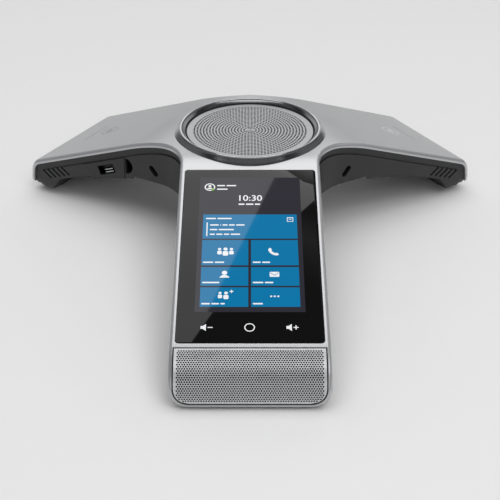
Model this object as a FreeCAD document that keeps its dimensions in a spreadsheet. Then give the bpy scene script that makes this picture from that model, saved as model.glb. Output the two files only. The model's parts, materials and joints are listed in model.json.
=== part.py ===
"""Three-arm table conference telephone with a touch display and a central loudspeaker.

Millimetres, +Z up, the feet on Z = 0, the front arm pointing along -Y.  The origin is
the middle of the footprint, so the loudspeaker axis (the hub) stands at Y = hub_y.
Every arm has its own frame: X out along the arm from the hub axis, Y across it, Z up.
"""
import FreeCAD, Part
import Sketcher
import math
import os

Vector = FreeCAD.Vector
Rotation = FreeCAD.Rotation
Placement = FreeCAD.Placement

SIZES = [
    # outline of the Y seen from above
    ("arm_half_width", 44.4, "half the width of each arm"),
    ("side_arm_angle", 30.0, "side arms: degrees behind the X axis"),
    ("front_valley", 35.0, "concave plan radius beside the front arm"),
    ("rear_valley", 70.0, "concave plan radius between the side arms"),
    # top surface
    ("cap_height", 67.6, "flat crown of the hub"),
    ("side_knee", 45.6, "reach where a side arm's slope leaves the crown"),
    ("side_slope", 21.3, "degrees a side arm falls outwards"),
    ("side_knee_radius", 130.0, "blend between crown and side slope"),
    ("side_flat_end", 150.0, "reach where a side arm's top turns down"),
    ("side_end_radius", 11.3, "radius of that turn"),
    ("side_end_slope", 82.0, "steepness of a side arm's end wall"),
    ("front_knee", 44.7, "reach where the front arm's slope leaves the crown"),
    ("front_slope", 15.3, "degrees the front arm and its glass fall forwards"),
    ("front_knee_radius", 60.0, "blend between crown and front slope"),
    ("ridge_radius", 2.6, "rounding along the upper edges"),
    # shell and housing
    ("roof_wall", 2.2, "wall of the top shell"),
    ("lip_depth", 3.2, "depth of the bright lip round the top shell"),
    ("seam_gap", 0.15, "gap between shell lip and housing rim"),
    ("band_depth", 8.4, "depth at which the housing wall steps out"),
    ("band_inset", 1.5, "housing wall behind the arm's side, in the upper band"),
    ("wall_inset", 0.5, "housing wall behind the arm's side, lower down"),
    ("housing_wall", 2.5, "wall of the lower housing"),
    ("side_skirt_z", 8.0, "height where the shell's side ends stop"),
    ("hull_z", 1.6, "flat underside of the housing"),
    ("hull_radius", 11.0, "rounding of the long bottom edges"),
    ("hull_floor", 3.1, "floor above the feet"),
    ("arch_floor", 2.4, "floor above the arch"),
    ("arch_height", 35.0, "top of the arch under the hub"),
    ("arch_shoulder_z", 15.8, "arch height where it turns down to a foot"),
    ("arch_flat", 35.0, "reach where the arch begins to fall"),
    ("side_arch_end", 143.5, "reach where a side arm's arch meets the hull"),
    ("front_arch_past", 7.257, "front arm's arch past the glass's lower edge"),
    ("arch_turn", 12.0, "length of the arch's turn down to the foot"),
    # glass and display
    ("glass_start", 53.85, "reach of the glass's upper edge"),
    ("glass_length", 139.85, "glass along the slope"),
    ("glass_width", 81.9, "glass across the arm"),
    ("glass_thick", 1.5, "cover glass"),
    ("glass_corner", 2.0, "corner radius of the glass"),
    ("glass_proud", 0.25, "glass above the shell"),
    ("glass_gap", 0.2, "gap round the glass"),
    ("display_length", 114.0, "display module along the slope"),
    ("display_width", 66.6, "display module across"),
    ("display_thick", 2.4, "display module"),
    ("display_start", 5.0, "display module below the glass's upper edge"),
    ("key_row_back", 11.15, "middle of the touch keys from the glass's lower edge"),
    ("key_board_width", 70.0, "touch key board across"),
    ("key_board_length", 14.0, "touch key board along"),
    # nose grille
    ("bar_width", 2.7, "bright bar between glass and grille"),
    ("grille_groove", 0.7, "dark groove round the nose grille"),
    ("grille_half_width", 41.3, "half the nose grille's width"),
    ("front_screw_back", 16.743, "front housing screws behind the glass's lower edge"),
    ("mic_past", 1.757, "front microphone past the glass's lower edge"),
    ("mic_drop", 10.895, "front microphone's shelf under the glass's lower edge"),
    ("grille_bottom_z", 4.8, "lower edge of the nose grille"),
    ("grille_corner", 8.5, "lower corners of the nose grille"),
    ("grille_thick", 0.8, "perforated sheet"),
    ("grille_sink", 0.25, "sheet below the shell"),
    ("cloth_thick", 0.4, "acoustic cloth"),
    # loudspeaker
    ("ring_base_radius", 50.3, "trim ring at its base"),
    ("ring_base_z", 66.3, "where the ring's cone begins"),
    ("ring_rim_radius", 46.5, "trim ring at its rim"),
    ("ring_rim_z", 70.75, "top of the trim ring, the highest point"),
    ("ring_wall", 1.8, "wall of the ring's skirt"),
    ("disc_radius", 42.3, "loudspeaker grille"),
    ("disc_z", 67.6, "top of the loudspeaker grille"),
    ("baffle_z", 60.6, "top of the baffle that carries the ring"),
    ("baffle_thick", 3.0, "baffle plate"),
    ("baffle_radius", 53.0, "baffle plate"),
    ("driver_radius", 40.0, "flange of the loudspeaker"),
    ("driver_opening", 33.5, "opening of baffle and basket"),
    ("cone_back", 3.0, "baffle's opening to the cone's edge"),
    ("coil_radius", 7.9, "middle of the voice coil's wall"),
    ("coil_wall", 0.6, "voice coil and former"),
    ("coil_gap", 0.2, "air each side of the voice coil"),
    ("magnet_radius", 17.0, "magnet and its plates"),
    ("gasket_thick", 1.0, "foam ring between baffle and basket"),
    ("basket_depth", 10.8, "flange of the basket to the magnet's front plate"),
    ("basket_wall", 1.2, "basket"),
    ("plate_thick", 2.0, "front plate and yoke plate"),
    ("magnet_thick", 3.0, "ring magnet"),
    ("coil_rise", 5.0, "voice coil former above the front plate"),
    ("cone_thick", 0.8, "cone"),
    ("surround_radius", 1.6, "half roll round the cone"),
    ("cone_travel", 2.0, "greatest travel of the cone each way"),
    ("enclosure_radius", 44.0, "sealed cup behind the loudspeaker"),
    # ports on the left arm and at the back
    ("usb_reach", 88.7, "USB socket along the left arm"),
    ("usb_drop", 15.9, "USB socket below the arm's top"),
    ("usb_width", 14.2, "USB socket shell"),
    ("usb_height", 6.8, "USB socket shell"),
    ("usb_depth", 17.0, "USB socket shell"),
    ("panel_start", 73.5, "port panel, edge near the hub"),
    ("panel_end", 101.0, "port panel, far lower corner"),
    ("panel_lean", 7.3, "port panel, far edge leans out"),
    ("panel_sag", 0.7, "port panel below the arch's edge"),
    ("panel_thick", 1.4, "port panel"),
    ("lan_width", 16.0, "network socket"),
    ("lan_height", 13.5, "network socket"),
    ("lan_z", 43.5, "underside of the network socket"),
    # arm ends
    ("slot_count", 5, "microphone slots in each side wall"),
    ("slot_reach", 134.2, "middle slot along the arm"),
    ("slot_drop", 12.6, "slots below the arm's top"),
    ("slot_pitch", 4.5, "spacing of the slots along the arm"),
    ("slot_length", 8.4, "each slot"),
    ("slot_width", 1.4, "each slot"),
    ("slot_lean", 56.0, "degrees a slot leans from the arm's slope"),
    ("light_reach", 131.0, "mute light along the arm"),
    ("light_length", 28.0, "mute light across the arm"),
    ("light_width", 1.2, "mute light"),
    ("mute_reach", 118.0, "mute touch area along the arm"),
    ("foot_length", 56.0, "foot across the arm"),
    ("foot_width", 7.5, "foot along the arm"),
    ("foot_margin", 1.0, "foot behind the end of the arch"),
    ("foot_sink", 1.4, "foot let into the housing"),
    ("mic_radius", 5.0, "microphone capsule"),
    ("mic_height", 3.8, "microphone capsule"),
    ("boot_wall", 1.2, "rubber boot round a microphone"),
    # fasteners and boards
    ("screw_radius", 1.45, "housing screw shank"),
    ("screw_head", 2.8, "housing screw head radius"),
    ("screw_pad", 5.2, "screw pad above the arch"),
    ("screw_seat", 2.8, "screw head's seat above the arch"),
    ("screw_length", 7.5, "screw shank"),
    ("board_screw", 1.2, "board screw shank radius"),
    ("boss_radius", 3.5, "shell boss"),
    ("board_thick", 1.6, "circuit boards"),
    ("board_width", 76.0, "main board across"),
    ("board_length", 90.0, "main board along the slope"),
    ("board_reach", 114.0, "middle of the main board"),
    ("board_depth", 9.5, "top of the main board under the arm's top"),
]

doc = FreeCAD.newDocument("ConferencePhone")
sheet = doc.addObject("Spreadsheet::Sheet", "sizes")
for row, (name, value, note) in enumerate(SIZES, start=1):
    sheet.set(f"A{row}", name)
    sheet.set(f"B{row}", str(value))
    sheet.set(f"C{row}", note)
    sheet.setAlias(f"B{row}", name)
doc.recompute()


def size(name):
    """Value of a named cell."""
    return float(getattr(sheet, name))


def tangent(name):
    return math.tan(math.radians(size(name)))


# ---------------------------------------------------------------- frames
ARMS = {
    "front": -90.0,
    "right": size("side_arm_angle"),
    "left": 180.0 - size("side_arm_angle"),
}
SIDES = ("left", "right")
NOSE_ARCS = [(66.0, 24.0), (26.5, 45.5), (20.0, 92.0)]  # radius, end slope


def nose_start():
    """Reach and height where the nose begins to curl, at the glass's lower edge."""
    slope = math.radians(size("front_slope"))
    reach = size("glass_start") + size("glass_length") * math.cos(slope)
    return reach, front_top(reach)


def front_top(reach):
    return size("cap_height") - (reach - size("front_knee")) * tangent("front_slope")


def side_top(reach):
    return size("cap_height") - (reach - size("side_knee")) * tangent("side_slope")


def nose_reach():
    """Foremost point of the nose: the curl summed up to where it is upright."""
    reach, slope = nose_start()[0], size("front_slope")
    for radius, end in NOSE_ARCS:
        end = min(end, 90.0)
        reach += radius * (math.sin(math.radians(end)) - math.sin(math.radians(slope)))
        slope = end
    return reach


def arch_end(arm):
    """Reach where an arm's arch meets the hull."""
    if arm == "front":
        return nose_start()[0] + size("front_arch_past")
    return size("side_arch_end")


def side_reach(height):
    """Reach of a side arm's end wall at a height below its rounded top edge."""
    slope, end = math.radians(size("side_slope")), math.radians(size("side_end_slope"))
    radius = size("side_end_radius")
    reach = size("side_flat_end") + radius * (math.sin(end) - math.sin(slope))
    top = side_top(size("side_flat_end")) - radius * (math.cos(slope) - math.cos(end))
    return reach + (top - height) / math.tan(end)


def rear_reach():
    """Furthest a side arm's end corner reaches behind the hub axis, where the shell stops."""
    turn = math.radians(size("side_arm_angle"))
    corner = size("ridge_radius")
    return ((side_reach(size("side_skirt_z")) - corner) * math.sin(turn)
            + (size("arm_half_width") - corner) * math.cos(turn) + corner)


HUB_Y = (nose_reach() - rear_reach()) / 2
HUB = Placement(Vector(0, HUB_Y, 0), Rotation())
ARM_FRAME = {name: HUB * Placement(Vector(), Rotation(Vector(0, 0, 1), turn))
             for name, turn in ARMS.items()}


def slope_frame(arm, reach, depth=0.0):
    """Frame on an arm's sloping top: X down the slope, Z out of the surface."""
    fall = size("front_slope" if arm == "front" else "side_slope")
    top = front_top(reach) if arm == "front" else side_top(reach)
    on_top = Placement(Vector(reach, 0, top), Rotation(Vector(0, 1, 0), fall))
    return ARM_FRAME[arm] * on_top * Placement(Vector(0, 0, -depth), Rotation())


# ---------------------------------------------------------------- document helpers
SUBPARTS = []


def below_top(arm, reach, drop):
    """Frame parallel to the slope, at a reach and a height below the arm's top."""
    slope = math.radians(size("side_slope"))
    depth = drop * math.cos(slope)
    return slope_frame(arm, reach + depth * math.sin(slope), depth)


def name_part(obj, label, placement=None):
    """Make an object one of the phone's own pieces."""
    obj.Label = label
    if placement is not None:
        obj.Placement = placement
    SUBPARTS.append(obj)
    return obj


def bind(obj, **expressions):
    for prop, expression in expressions.items():
        obj.setExpression(prop, expression)
    return obj


def box(name, placement, length, width, height):
    """Box on the middle of its X and Y, on its own Z = 0; sizes are expressions."""
    obj = doc.addObject("Part::Box", name)
    bind(obj, Length=length, Width=width, Height=height)
    doc.recompute()
    middle = Vector(-obj.Length.Value / 2, -obj.Width.Value / 2, 0)
    obj.Placement = placement * Placement(middle, Rotation())
    return obj


def cylinder(name, placement, radius, height):
    obj = doc.addObject("Part::Cylinder", name)
    bind(obj, Radius=radius, Height=height)
    obj.Placement = placement
    return obj


def cut(name, base, tool):
    obj = doc.addObject("Part::Cut", name)
    obj.Base = base
    obj.Tool = tool
    return obj


def fuse(name, pieces):
    obj = doc.addObject("Part::MultiFuse", name)
    obj.Shapes = pieces
    return obj


def feature(name, shape):
    obj = doc.addObject("Part::Feature", name)
    obj.Shape = shape
    return obj


def at(x=0.0, y=0.0, z=0.0, axis=None, angle=0.0):
    turn = Rotation(axis, angle) if axis is not None else Rotation()
    return Placement(Vector(x, y, z), turn)


def sketch_on(body, plane_role, name):
    sketch = body.newObject("Sketcher::SketchObject", name)
    plane = [f for f in body.Origin.OriginFeatures if f.Role == plane_role][0]
    sketch.AttachmentSupport = [(plane, "")]
    sketch.MapMode = "FlatFace"
    return sketch


def turned_body(name, outline):
    """Body of revolution about Z; outline is a closed list of radius, height cells.

    Each entry holds two expressions, which become the sketch's own constraints.
    """
    body = doc.addObject("PartDesign::Body", name)
    sketch = sketch_on(body, "XZ_Plane", name + "_section")
    rough = [(10.0 + 3 * math.cos(2 * math.pi * i / len(outline)),
              30.0 + 3 * math.sin(2 * math.pi * i / len(outline))) for i in range(len(outline))]
    for i, start in enumerate(rough):
        end = rough[(i + 1) % len(rough)]
        sketch.addGeometry(Part.LineSegment(Vector(*start, 0), Vector(*end, 0)), False)
    for i in range(len(outline)):
        follow = (i + 1) % len(outline)
        sketch.addConstraint(Sketcher.Constraint("Coincident", i, 2, follow, 1))
    for i, (radius, height) in enumerate(outline):
        for kind, expression in (("DistanceX", radius), ("DistanceY", height)):
            number = sketch.addConstraint(Sketcher.Constraint(kind, -1, 1, i, 1, 10.0))
            sketch.setExpression(f"Constraints[{number}]", expression)
    revolution = body.newObject("PartDesign::Revolution", name + "_turn")
    revolution.Profile = sketch
    revolution.ReferenceAxis = (sketch, ["V_Axis"])
    revolution.Angle = 360.0
    return body


def prism(points, height, placement):
    """Solid from a closed outline of X, Y points, raised along Z."""
    corners = [Vector(x, y, 0) for x, y in points]
    solid = Part.Face(Part.makePolygon(corners + corners[:1])).extrude(Vector(0, 0, height))
    solid.Placement = placement
    return solid


# ---------------------------------------------------------------- the outer envelope
FAR = 300.0   # beyond everything
HIGH = 100.0  # above everything
LOW = -20.0   # below everything


def fall_arc(start, slope, radius, end_slope, offset):
    """Convex arc in reach and height; returns its edge and its true end point.

    The outline falls by slope degrees at start and by end_slope at the end.  The edge
    is drawn offset inwards about the same centre.
    """
    def on_arc(angle, r):
        turn = math.radians(angle)
        return (centre[0] + r * math.sin(turn), centre[1] + r * math.cos(turn))

    turn = math.radians(slope)
    centre = (start[0] - radius * math.sin(turn), start[1] - radius * math.cos(turn))
    inner = radius - offset
    points = [on_arc(a, inner) for a in (slope, (slope + end_slope) / 2, end_slope)]
    vectors = [Vector(x, 0, z) for x, z in points]
    return Part.Arc(*vectors).toShape(), on_arc(end_slope, radius)


def arm_profile(arm, offset):
    """Everything under one arm's long profile, drawn offset inwards, across all arms."""
    kind = "front" if arm == "front" else "side"
    slope = size(kind + "_slope")
    knee_radius = size(kind + "_knee_radius")
    run = knee_radius * math.tan(math.radians(slope / 2))
    start = (size(kind + "_knee") - run, size("cap_height"))
    edges = [fall_arc(start, 0.0, knee_radius, slope, offset)[0]]
    if kind == "front":
        point = nose_start()
        arcs = NOSE_ARCS
    else:
        point = (size("side_flat_end"), side_top(size("side_flat_end")))
        arcs = [(size("side_end_radius"), size("side_end_slope"))]
    for radius, end_slope in arcs:
        edge, point = fall_arc(point, slope, radius, end_slope, offset)
        edges.append(edge)
        slope = end_slope
    ends = [(e.Vertexes[0].Point, e.Vertexes[-1].Point) for e in edges]
    outline = [Part.LineSegment(Vector(-FAR, 0, ends[0][0].z), ends[0][0]).toShape()]
    for i, edge in enumerate(edges):
        outline.append(edge)
        if i + 1 < len(edges) and ends[i][1].distanceToPoint(ends[i + 1][0]) > 1e-6:
            outline.append(Part.LineSegment(ends[i][1], ends[i + 1][0]).toShape())
    last = ends[-1][1]
    foot = Vector(last.x + (last.z - LOW) / math.tan(math.radians(slope)), 0, LOW)
    corner = Vector(-FAR, 0, LOW)
    outline.append(Part.LineSegment(last, foot).toShape())
    outline.append(Part.LineSegment(foot, corner).toShape())
    outline.append(Part.LineSegment(corner, Vector(-FAR, 0, ends[0][0].z)).toShape())
    face = Part.Face(Part.Wire(outline))
    face.translate(Vector(0, -FAR, 0))
    solid = face.extrude(Vector(0, 2 * FAR, 0))
    solid.Placement = ARM_FRAME[arm]
    return solid


def plan_prism(inset, side_end=2 * FAR, front_end=2 * FAR, bottom=None):
    """Upright walls of the Y: three arms joined with concave valleys."""
    half = size("arm_half_width") - inset
    bottom = size("hull_z") if bottom is None else bottom
    arms = []
    for arm, frame in ARM_FRAME.items():
        end = front_end if arm == "front" else side_end
        start = -half / 4
        block = Part.makeBox(end - start, 2 * half, HIGH - bottom, Vector(start, -half, bottom))
        block.Placement = frame
        arms.append(block)
    joined = arms[0].fuse(arms[1:]).removeSplitter()
    valley_reach = half / math.cos(math.radians(size("side_arm_angle")))
    for name, behind in (("front_valley", False), ("rear_valley", True)):
        valleys = []
        for edge in joined.Edges:
            foot = edge.Vertexes[0].Point
            near = abs(math.hypot(foot.x, foot.y - HUB_Y) - valley_reach) < valley_reach / 10
            if edge.BoundBox.ZLength > HIGH - bottom - 1 and near and (foot.y > HUB_Y) == behind:
                valleys.append(edge)
        joined = joined.makeFillet(size(name) + inset, valleys)
    return joined


def round_under(shape, inset):
    """Round the long bottom edges of every arm; inset keeps a wall's inside concentric."""
    radius = size("hull_radius")
    middle_y = size("arm_half_width") - radius
    middle_z = size("hull_z") + radius
    start = size("arch_shoulder_z") + size("side_arch_end") / 2
    for frame in ARM_FRAME.values():
        for side in (-1, 1):
            low_y = middle_y if side > 0 else -middle_y - 2 * radius
            corner = Part.makeBox(FAR, 2 * radius, middle_z - LOW, Vector(start, low_y, LOW))
            rod = Part.makeCylinder(radius - inset, FAR + 2, Vector(start - 1, side * middle_y, middle_z),
                                    Vector(1, 0, 0))
            tool = corner.cut(rod)
            tool.Placement = frame
            shape = shape.cut(tool)
    return shape


def envelope(offset, inset):
    """The telephone's outer form, shrunk by offset from its tops and ends and by inset
    from its upright sides."""
    solid = plan_prism(inset)
    for arm in ARMS:
        solid = solid.common(arm_profile(arm, offset))
    return round_under(solid, inset)


def arch_height_at(arm, reach):
    """Height of the arch's underside over the table, on its long curve."""
    end = arch_end(arm) - size("arch_turn")
    run = end - size("arch_flat")
    drop = size("arch_height") - size("arch_shoulder_z")
    radius = (run * run + drop * drop) / (2 * drop)
    along = max(reach - size("arch_flat"), 0.0)
    return size("arch_height") - radius + math.sqrt(radius * radius - along * along)


def arch_space(offset):
    """The hollow under the arms, grown by offset for the floor above it."""
    spaces = []
    for arm, frame in ARM_FRAME.items():
        flat = size("arch_flat")
        end = arch_end(arm)
        shoulder = end - size("arch_turn")
        middle = (flat + shoulder) / 2
        top = [Vector(flat, 0, size("arch_height") + offset),
               Vector(middle, 0, arch_height_at(arm, middle) + offset),
               Vector(shoulder, 0, size("arch_shoulder_z") + offset)]
        foot = Vector(end + offset, 0, size("hull_z"))
        low = Vector(end + offset, 0, LOW)
        back = Vector(-flat / 2, 0, LOW)
        rise = Vector(-flat / 2, 0, top[0].z)
        chain = [top[2], foot, low, back, rise, top[0]]
        edges = [Part.Arc(*top).toShape()]
        edges += [Part.LineSegment(a, b).toShape() for a, b in zip(chain, chain[1:])]
        face = Part.Face(Part.Wire(edges))
        across = size("arm_half_width") + size("front_valley")
        face.translate(Vector(0, -across, 0))
        space = face.extrude(Vector(0, 2 * across, 0))
        space.Placement = frame
        spaces.append(space)
    return spaces[0].fuse(spaces[1:])


def side_prism(arm, points, start, end):
    """Solid from reach and height points, between two distances across an arm."""
    corners = [Vector(x, start, z) for x, z in points]
    solid = Part.Face(Part.makePolygon(corners + corners[:1])).extrude(Vector(0, end - start, 0))
    solid.Placement = ARM_FRAME[arm]
    return solid


def boxed(frame, length, width, low, high, x=0.0, y=0.0):
    """Box centred on x, y of a frame, between two heights of that frame."""
    block = Part.makeBox(length, width, high - low, Vector(x - length / 2, y - width / 2, low))
    block.Placement = frame
    return block


def rod(frame, radius, low, high, x=0.0, y=0.0):
    """Upright cylinder in a frame, between two heights."""
    pin = Part.makeCylinder(radius, high - low, Vector(x, y, low))
    pin.Placement = frame
    return pin


def front_side(arm):
    """Sign of the arm frame's Y that faces the user."""
    return 1 if arm == "left" else -1


def nose_region(grow):
    """Space in front of the nose that holds the grille, grown all round."""
    half = size("grille_half_width") + grow
    bottom = size("grille_bottom_z") - grow
    corner = size("grille_corner") + grow
    back = arch_end("front") / 2
    block = Part.makeBox(FAR, 2 * half, HIGH, Vector(back, -half, bottom))
    lower = [e for e in block.Edges
             if abs(e.BoundBox.ZMax - bottom) < 1e-6 and e.BoundBox.XLength > FAR / 2]
    block = block.makeFillet(corner, lower)
    block.Placement = ARM_FRAME["front"]
    start = size("glass_length") + size("bar_width") + size("grille_groove") - grow
    ahead = Part.makeBox(FAR, 2 * FAR, 2 * FAR, Vector(start, -FAR, -FAR))
    ahead.Placement = slope_frame("front", size("glass_start"))
    return block.common(ahead)


def nose_layer(outer, inner, grow):
    """Curved layer between two depths under the nose's surface."""
    return arm_profile("front", outer).cut(arm_profile("front", inner)).common(nose_region(grow))


# ---------------------------------------------------------------- places used twice
glass_frame = slope_frame("front", size("glass_start"))
glass_middle = size("glass_length") / 2
key_row = size("glass_length") - size("key_row_back")
SCREW_REACH = {"front": nose_start()[0] - size("front_screw_back"), "left": 108.0, "right": 108.0}
SCREW_SIDE = {"front": 37.5, "left": 33.0, "right": 33.0}
SCREW_PLACES = [(arm, SCREW_REACH[arm], side * SCREW_SIDE[arm]) for arm in ARMS for side in (-1, 1)]
BOARD_SCREWS = [(x, y) for x in (-38.0, 38.0) for y in (-33.0, 33.0)]
MIC_PLACES = {"front": (nose_start()[0] + size("mic_past"), nose_start()[1] - size("mic_drop")),
              "left": (132.0, 21.0), "right": (132.0, 21.0)}
JACK = {"reach": 49.5, "height": 43.3, "lean": 50.0, "long": 8.6, "wide": 3.8}
RECESS = {"reach": 72.6, "height": 41.5, "radius": 5.8, "depth": 8.0, "wall": 1.2}
board_frame = slope_frame("front", size("board_reach"), size("board_depth"))
side_wall = size("arm_half_width") - size("wall_inset")
inner_wall = size("arm_half_width") - size("wall_inset") - size("housing_wall")
panel_back = side_wall - 1.0
usb_frame = below_top("left", size("usb_reach"), size("usb_drop"))
lan_depth = 16.0
lan_middle_y = size("enclosure_radius") + 0.6 + lan_depth / 2
lan_board_z = size("lan_z") - size("board_thick")
LAN_POSTS = (-20.0, 20.0)


# ---------------------------------------------------------------- top shell
def edge_is_ridge(solid, edge):
    """True for an edge where an upright side meets an arm's top or end."""
    faces = solid.ancestorsOfType(edge, Part.Face)
    extent = edge.BoundBox
    if len(faces) != 2 or extent.ZMax < size("hull_z") + 0.5 or extent.XLength + extent.YLength < 0.1:
        return False
    middle = edge.valueAt((edge.FirstParameter + edge.LastParameter) / 2)
    normals = [face.normalAt(*face.Surface.parameter(middle)) for face in faces]
    if any(n.z < -0.5 for n in normals):
        return False
    return abs(normals[0].dot(normals[1])) < 0.8


def screw_bosses(arms):
    """Columns that take the housing screws, each with its bore."""
    bosses = []
    for arm, reach, y in SCREW_PLACES:
        if arm not in arms:
            continue
        frame = ARM_FRAME[arm]
        foot = arch_height_at(arm, reach) + size("screw_pad") + 0.05
        boss = rod(frame, size("boss_radius"), foot, HIGH, reach, y)
        bore = rod(frame, size("screw_radius") + 0.05, LOW, foot + size("screw_length") - 1.0, reach, y)
        bosses.append((boss, bore))
    return bosses


def rounded_envelope():
    """Outer form with its upper edges rounded: one half is rounded and mirrored."""
    right = Part.makeBox(FAR, 2 * FAR, HIGH - LOW, Vector(0, -FAR, LOW))
    half = envelope(0.0, 0.0).common(right)
    ridges = [e for e in half.Edges if e.BoundBox.XMax > 0.01 and edge_is_ridge(half, e)]
    half = half.makeFillet(size("ridge_radius"), ridges)
    return half.fuse(half.mirror(Vector(), Vector(1, 0, 0))).removeSplitter()


def make_top_shell():
    """Bright moulded cover: crown, three arms, round lips, openings for glass and grilles."""
    shell = rounded_envelope()
    shell = shell.cut(envelope(size("lip_depth"), -size("roof_wall")))
    shell = shell.cut(envelope(size("roof_wall"), size("roof_wall")))
    for side in SIDES:
        shell = shell.cut(boxed(ARM_FRAME[side], FAR, FAR, LOW, size("side_skirt_z"),
                                size("side_flat_end") + FAR / 2 - size("arm_half_width")))
    inside = envelope(size("roof_wall") / 2, size("roof_wall") / 2)
    collar = rod(HUB, size("baffle_radius"), size("baffle_z"), HIGH)
    shell = shell.fuse(collar.common(inside))
    for boss, bore in screw_bosses(SIDES):
        shell = shell.fuse(boss.common(inside)).cut(bore)
    shell = shell.cut(rod(HUB, size("ring_base_radius") + 0.2, LOW, HIGH))
    opening = boxed(glass_frame, size("glass_length") + 2 * size("glass_gap"),
                    size("glass_width") + 2 * size("glass_gap"), -size("roof_wall") * 3, FAR / 10,
                    glass_middle)
    shell = shell.cut(opening).cut(nose_region(size("grille_groove")))
    for side in SIDES:
        shell = shell.cut(boxed(slope_frame(side, size("light_reach")), size("light_width"),
                                size("light_length"), -2 * size("roof_wall"), 1.0))
    return shell.removeSplitter()


# ---------------------------------------------------------------- lower housing
def housing_cavity():
    """The inside of the lower housing, open at the top."""
    wall = size("housing_wall")
    inset = size("wall_inset") + wall
    behind_lip = size("lip_depth") + wall
    space = plan_prism(inset, side_reach(size("side_skirt_z")) - behind_lip,
                       nose_reach() - behind_lip - wall, size("hull_z") + size("hull_floor"))
    return round_under(space, inset).cut(arch_space(size("arch_floor")))


def slot_cutters(side):
    """Five leaning microphone slots through both side walls of one arm."""
    cutters = []
    slot_step = size("slot_pitch") * math.cos(math.radians(size("side_slope")))
    for i in range(int(size("slot_count"))):
        reach = size("slot_reach") + (i - (size("slot_count") - 1) / 2) * slot_step
        place = below_top(side, reach, size("slot_drop"))
        place = place * at(axis=Vector(0, 1, 0), angle=-size("slot_lean"))
        slot = boxed(place, size("slot_length"), FAR, -size("slot_width") / 2, size("slot_width") / 2)
        core = boxed(ARM_FRAME[side], FAR, 2 * (inner_wall - 1.0), LOW, HIGH)
        cutters.append(slot.cut(core))
    return cutters


def panel_outline(grow):
    """Port panel seen from the side: a far edge that leans, a top that follows the arm."""
    far_low, near = size("panel_end") + grow, size("panel_start") - grow
    drop = size("band_depth") / math.cos(math.radians(size("side_slope"))) + 0.3 - grow
    low_far = arch_height_at("left", far_low) - size("panel_sag") - grow
    low_near = arch_height_at("left", near) - size("panel_sag") - grow
    far_high = far_low + size("panel_lean")
    return [(near, low_near), (far_low, low_far), (far_high, side_top(far_high) - drop),
            (near, side_top(near) - drop)]


def half_round(frame_arm, radius, start, end, flat=0.0):
    """D-shaped prism across an arm with its flat side away from the hub."""
    sign = front_side(frame_arm)
    base = Vector(RECESS["reach"], sign * start, RECESS["height"])
    solid = Part.makeCylinder(radius, end - start, base, Vector(0, sign, 0))
    keep = Part.makeBox(radius * 2, 2 * FAR, radius * 4,
                        Vector(RECESS["reach"] - 2 * radius + flat, -FAR,
                               RECESS["height"] - 2 * radius))
    solid = solid.common(keep)
    solid.Placement = ARM_FRAME[frame_arm]
    return solid


def jack_frame(side):
    """Frame on a microphone jack: Z out through the wall, X along the leaning hole."""
    sign = front_side(side)
    place = ARM_FRAME[side] * at(JACK["reach"], sign * inner_wall, JACK["height"])
    place = place * at(axis=Vector(1, 0, 0), angle=-90.0 * sign)
    return place * at(axis=Vector(0, 0, 1), angle=-sign * JACK["lean"])


def jack_hole(side, low, high):
    """Long hole with round ends."""
    place = jack_frame(side)
    run = JACK["long"] - JACK["wide"]
    radius = JACK["wide"] / 2
    hole = boxed(place, run, JACK["wide"], low, high)
    for x in (-run / 2, run / 2):
        hole = hole.fuse(rod(place, radius, low, high, x))
    return hole.removeSplitter()


def board_posts():
    """Posts that carry the main board."""
    posts = []
    for x, y in BOARD_SCREWS:
        post = rod(board_frame, 3.0, -FAR, -size("board_thick"), x, y)
        posts.append(post)
    return posts


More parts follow.
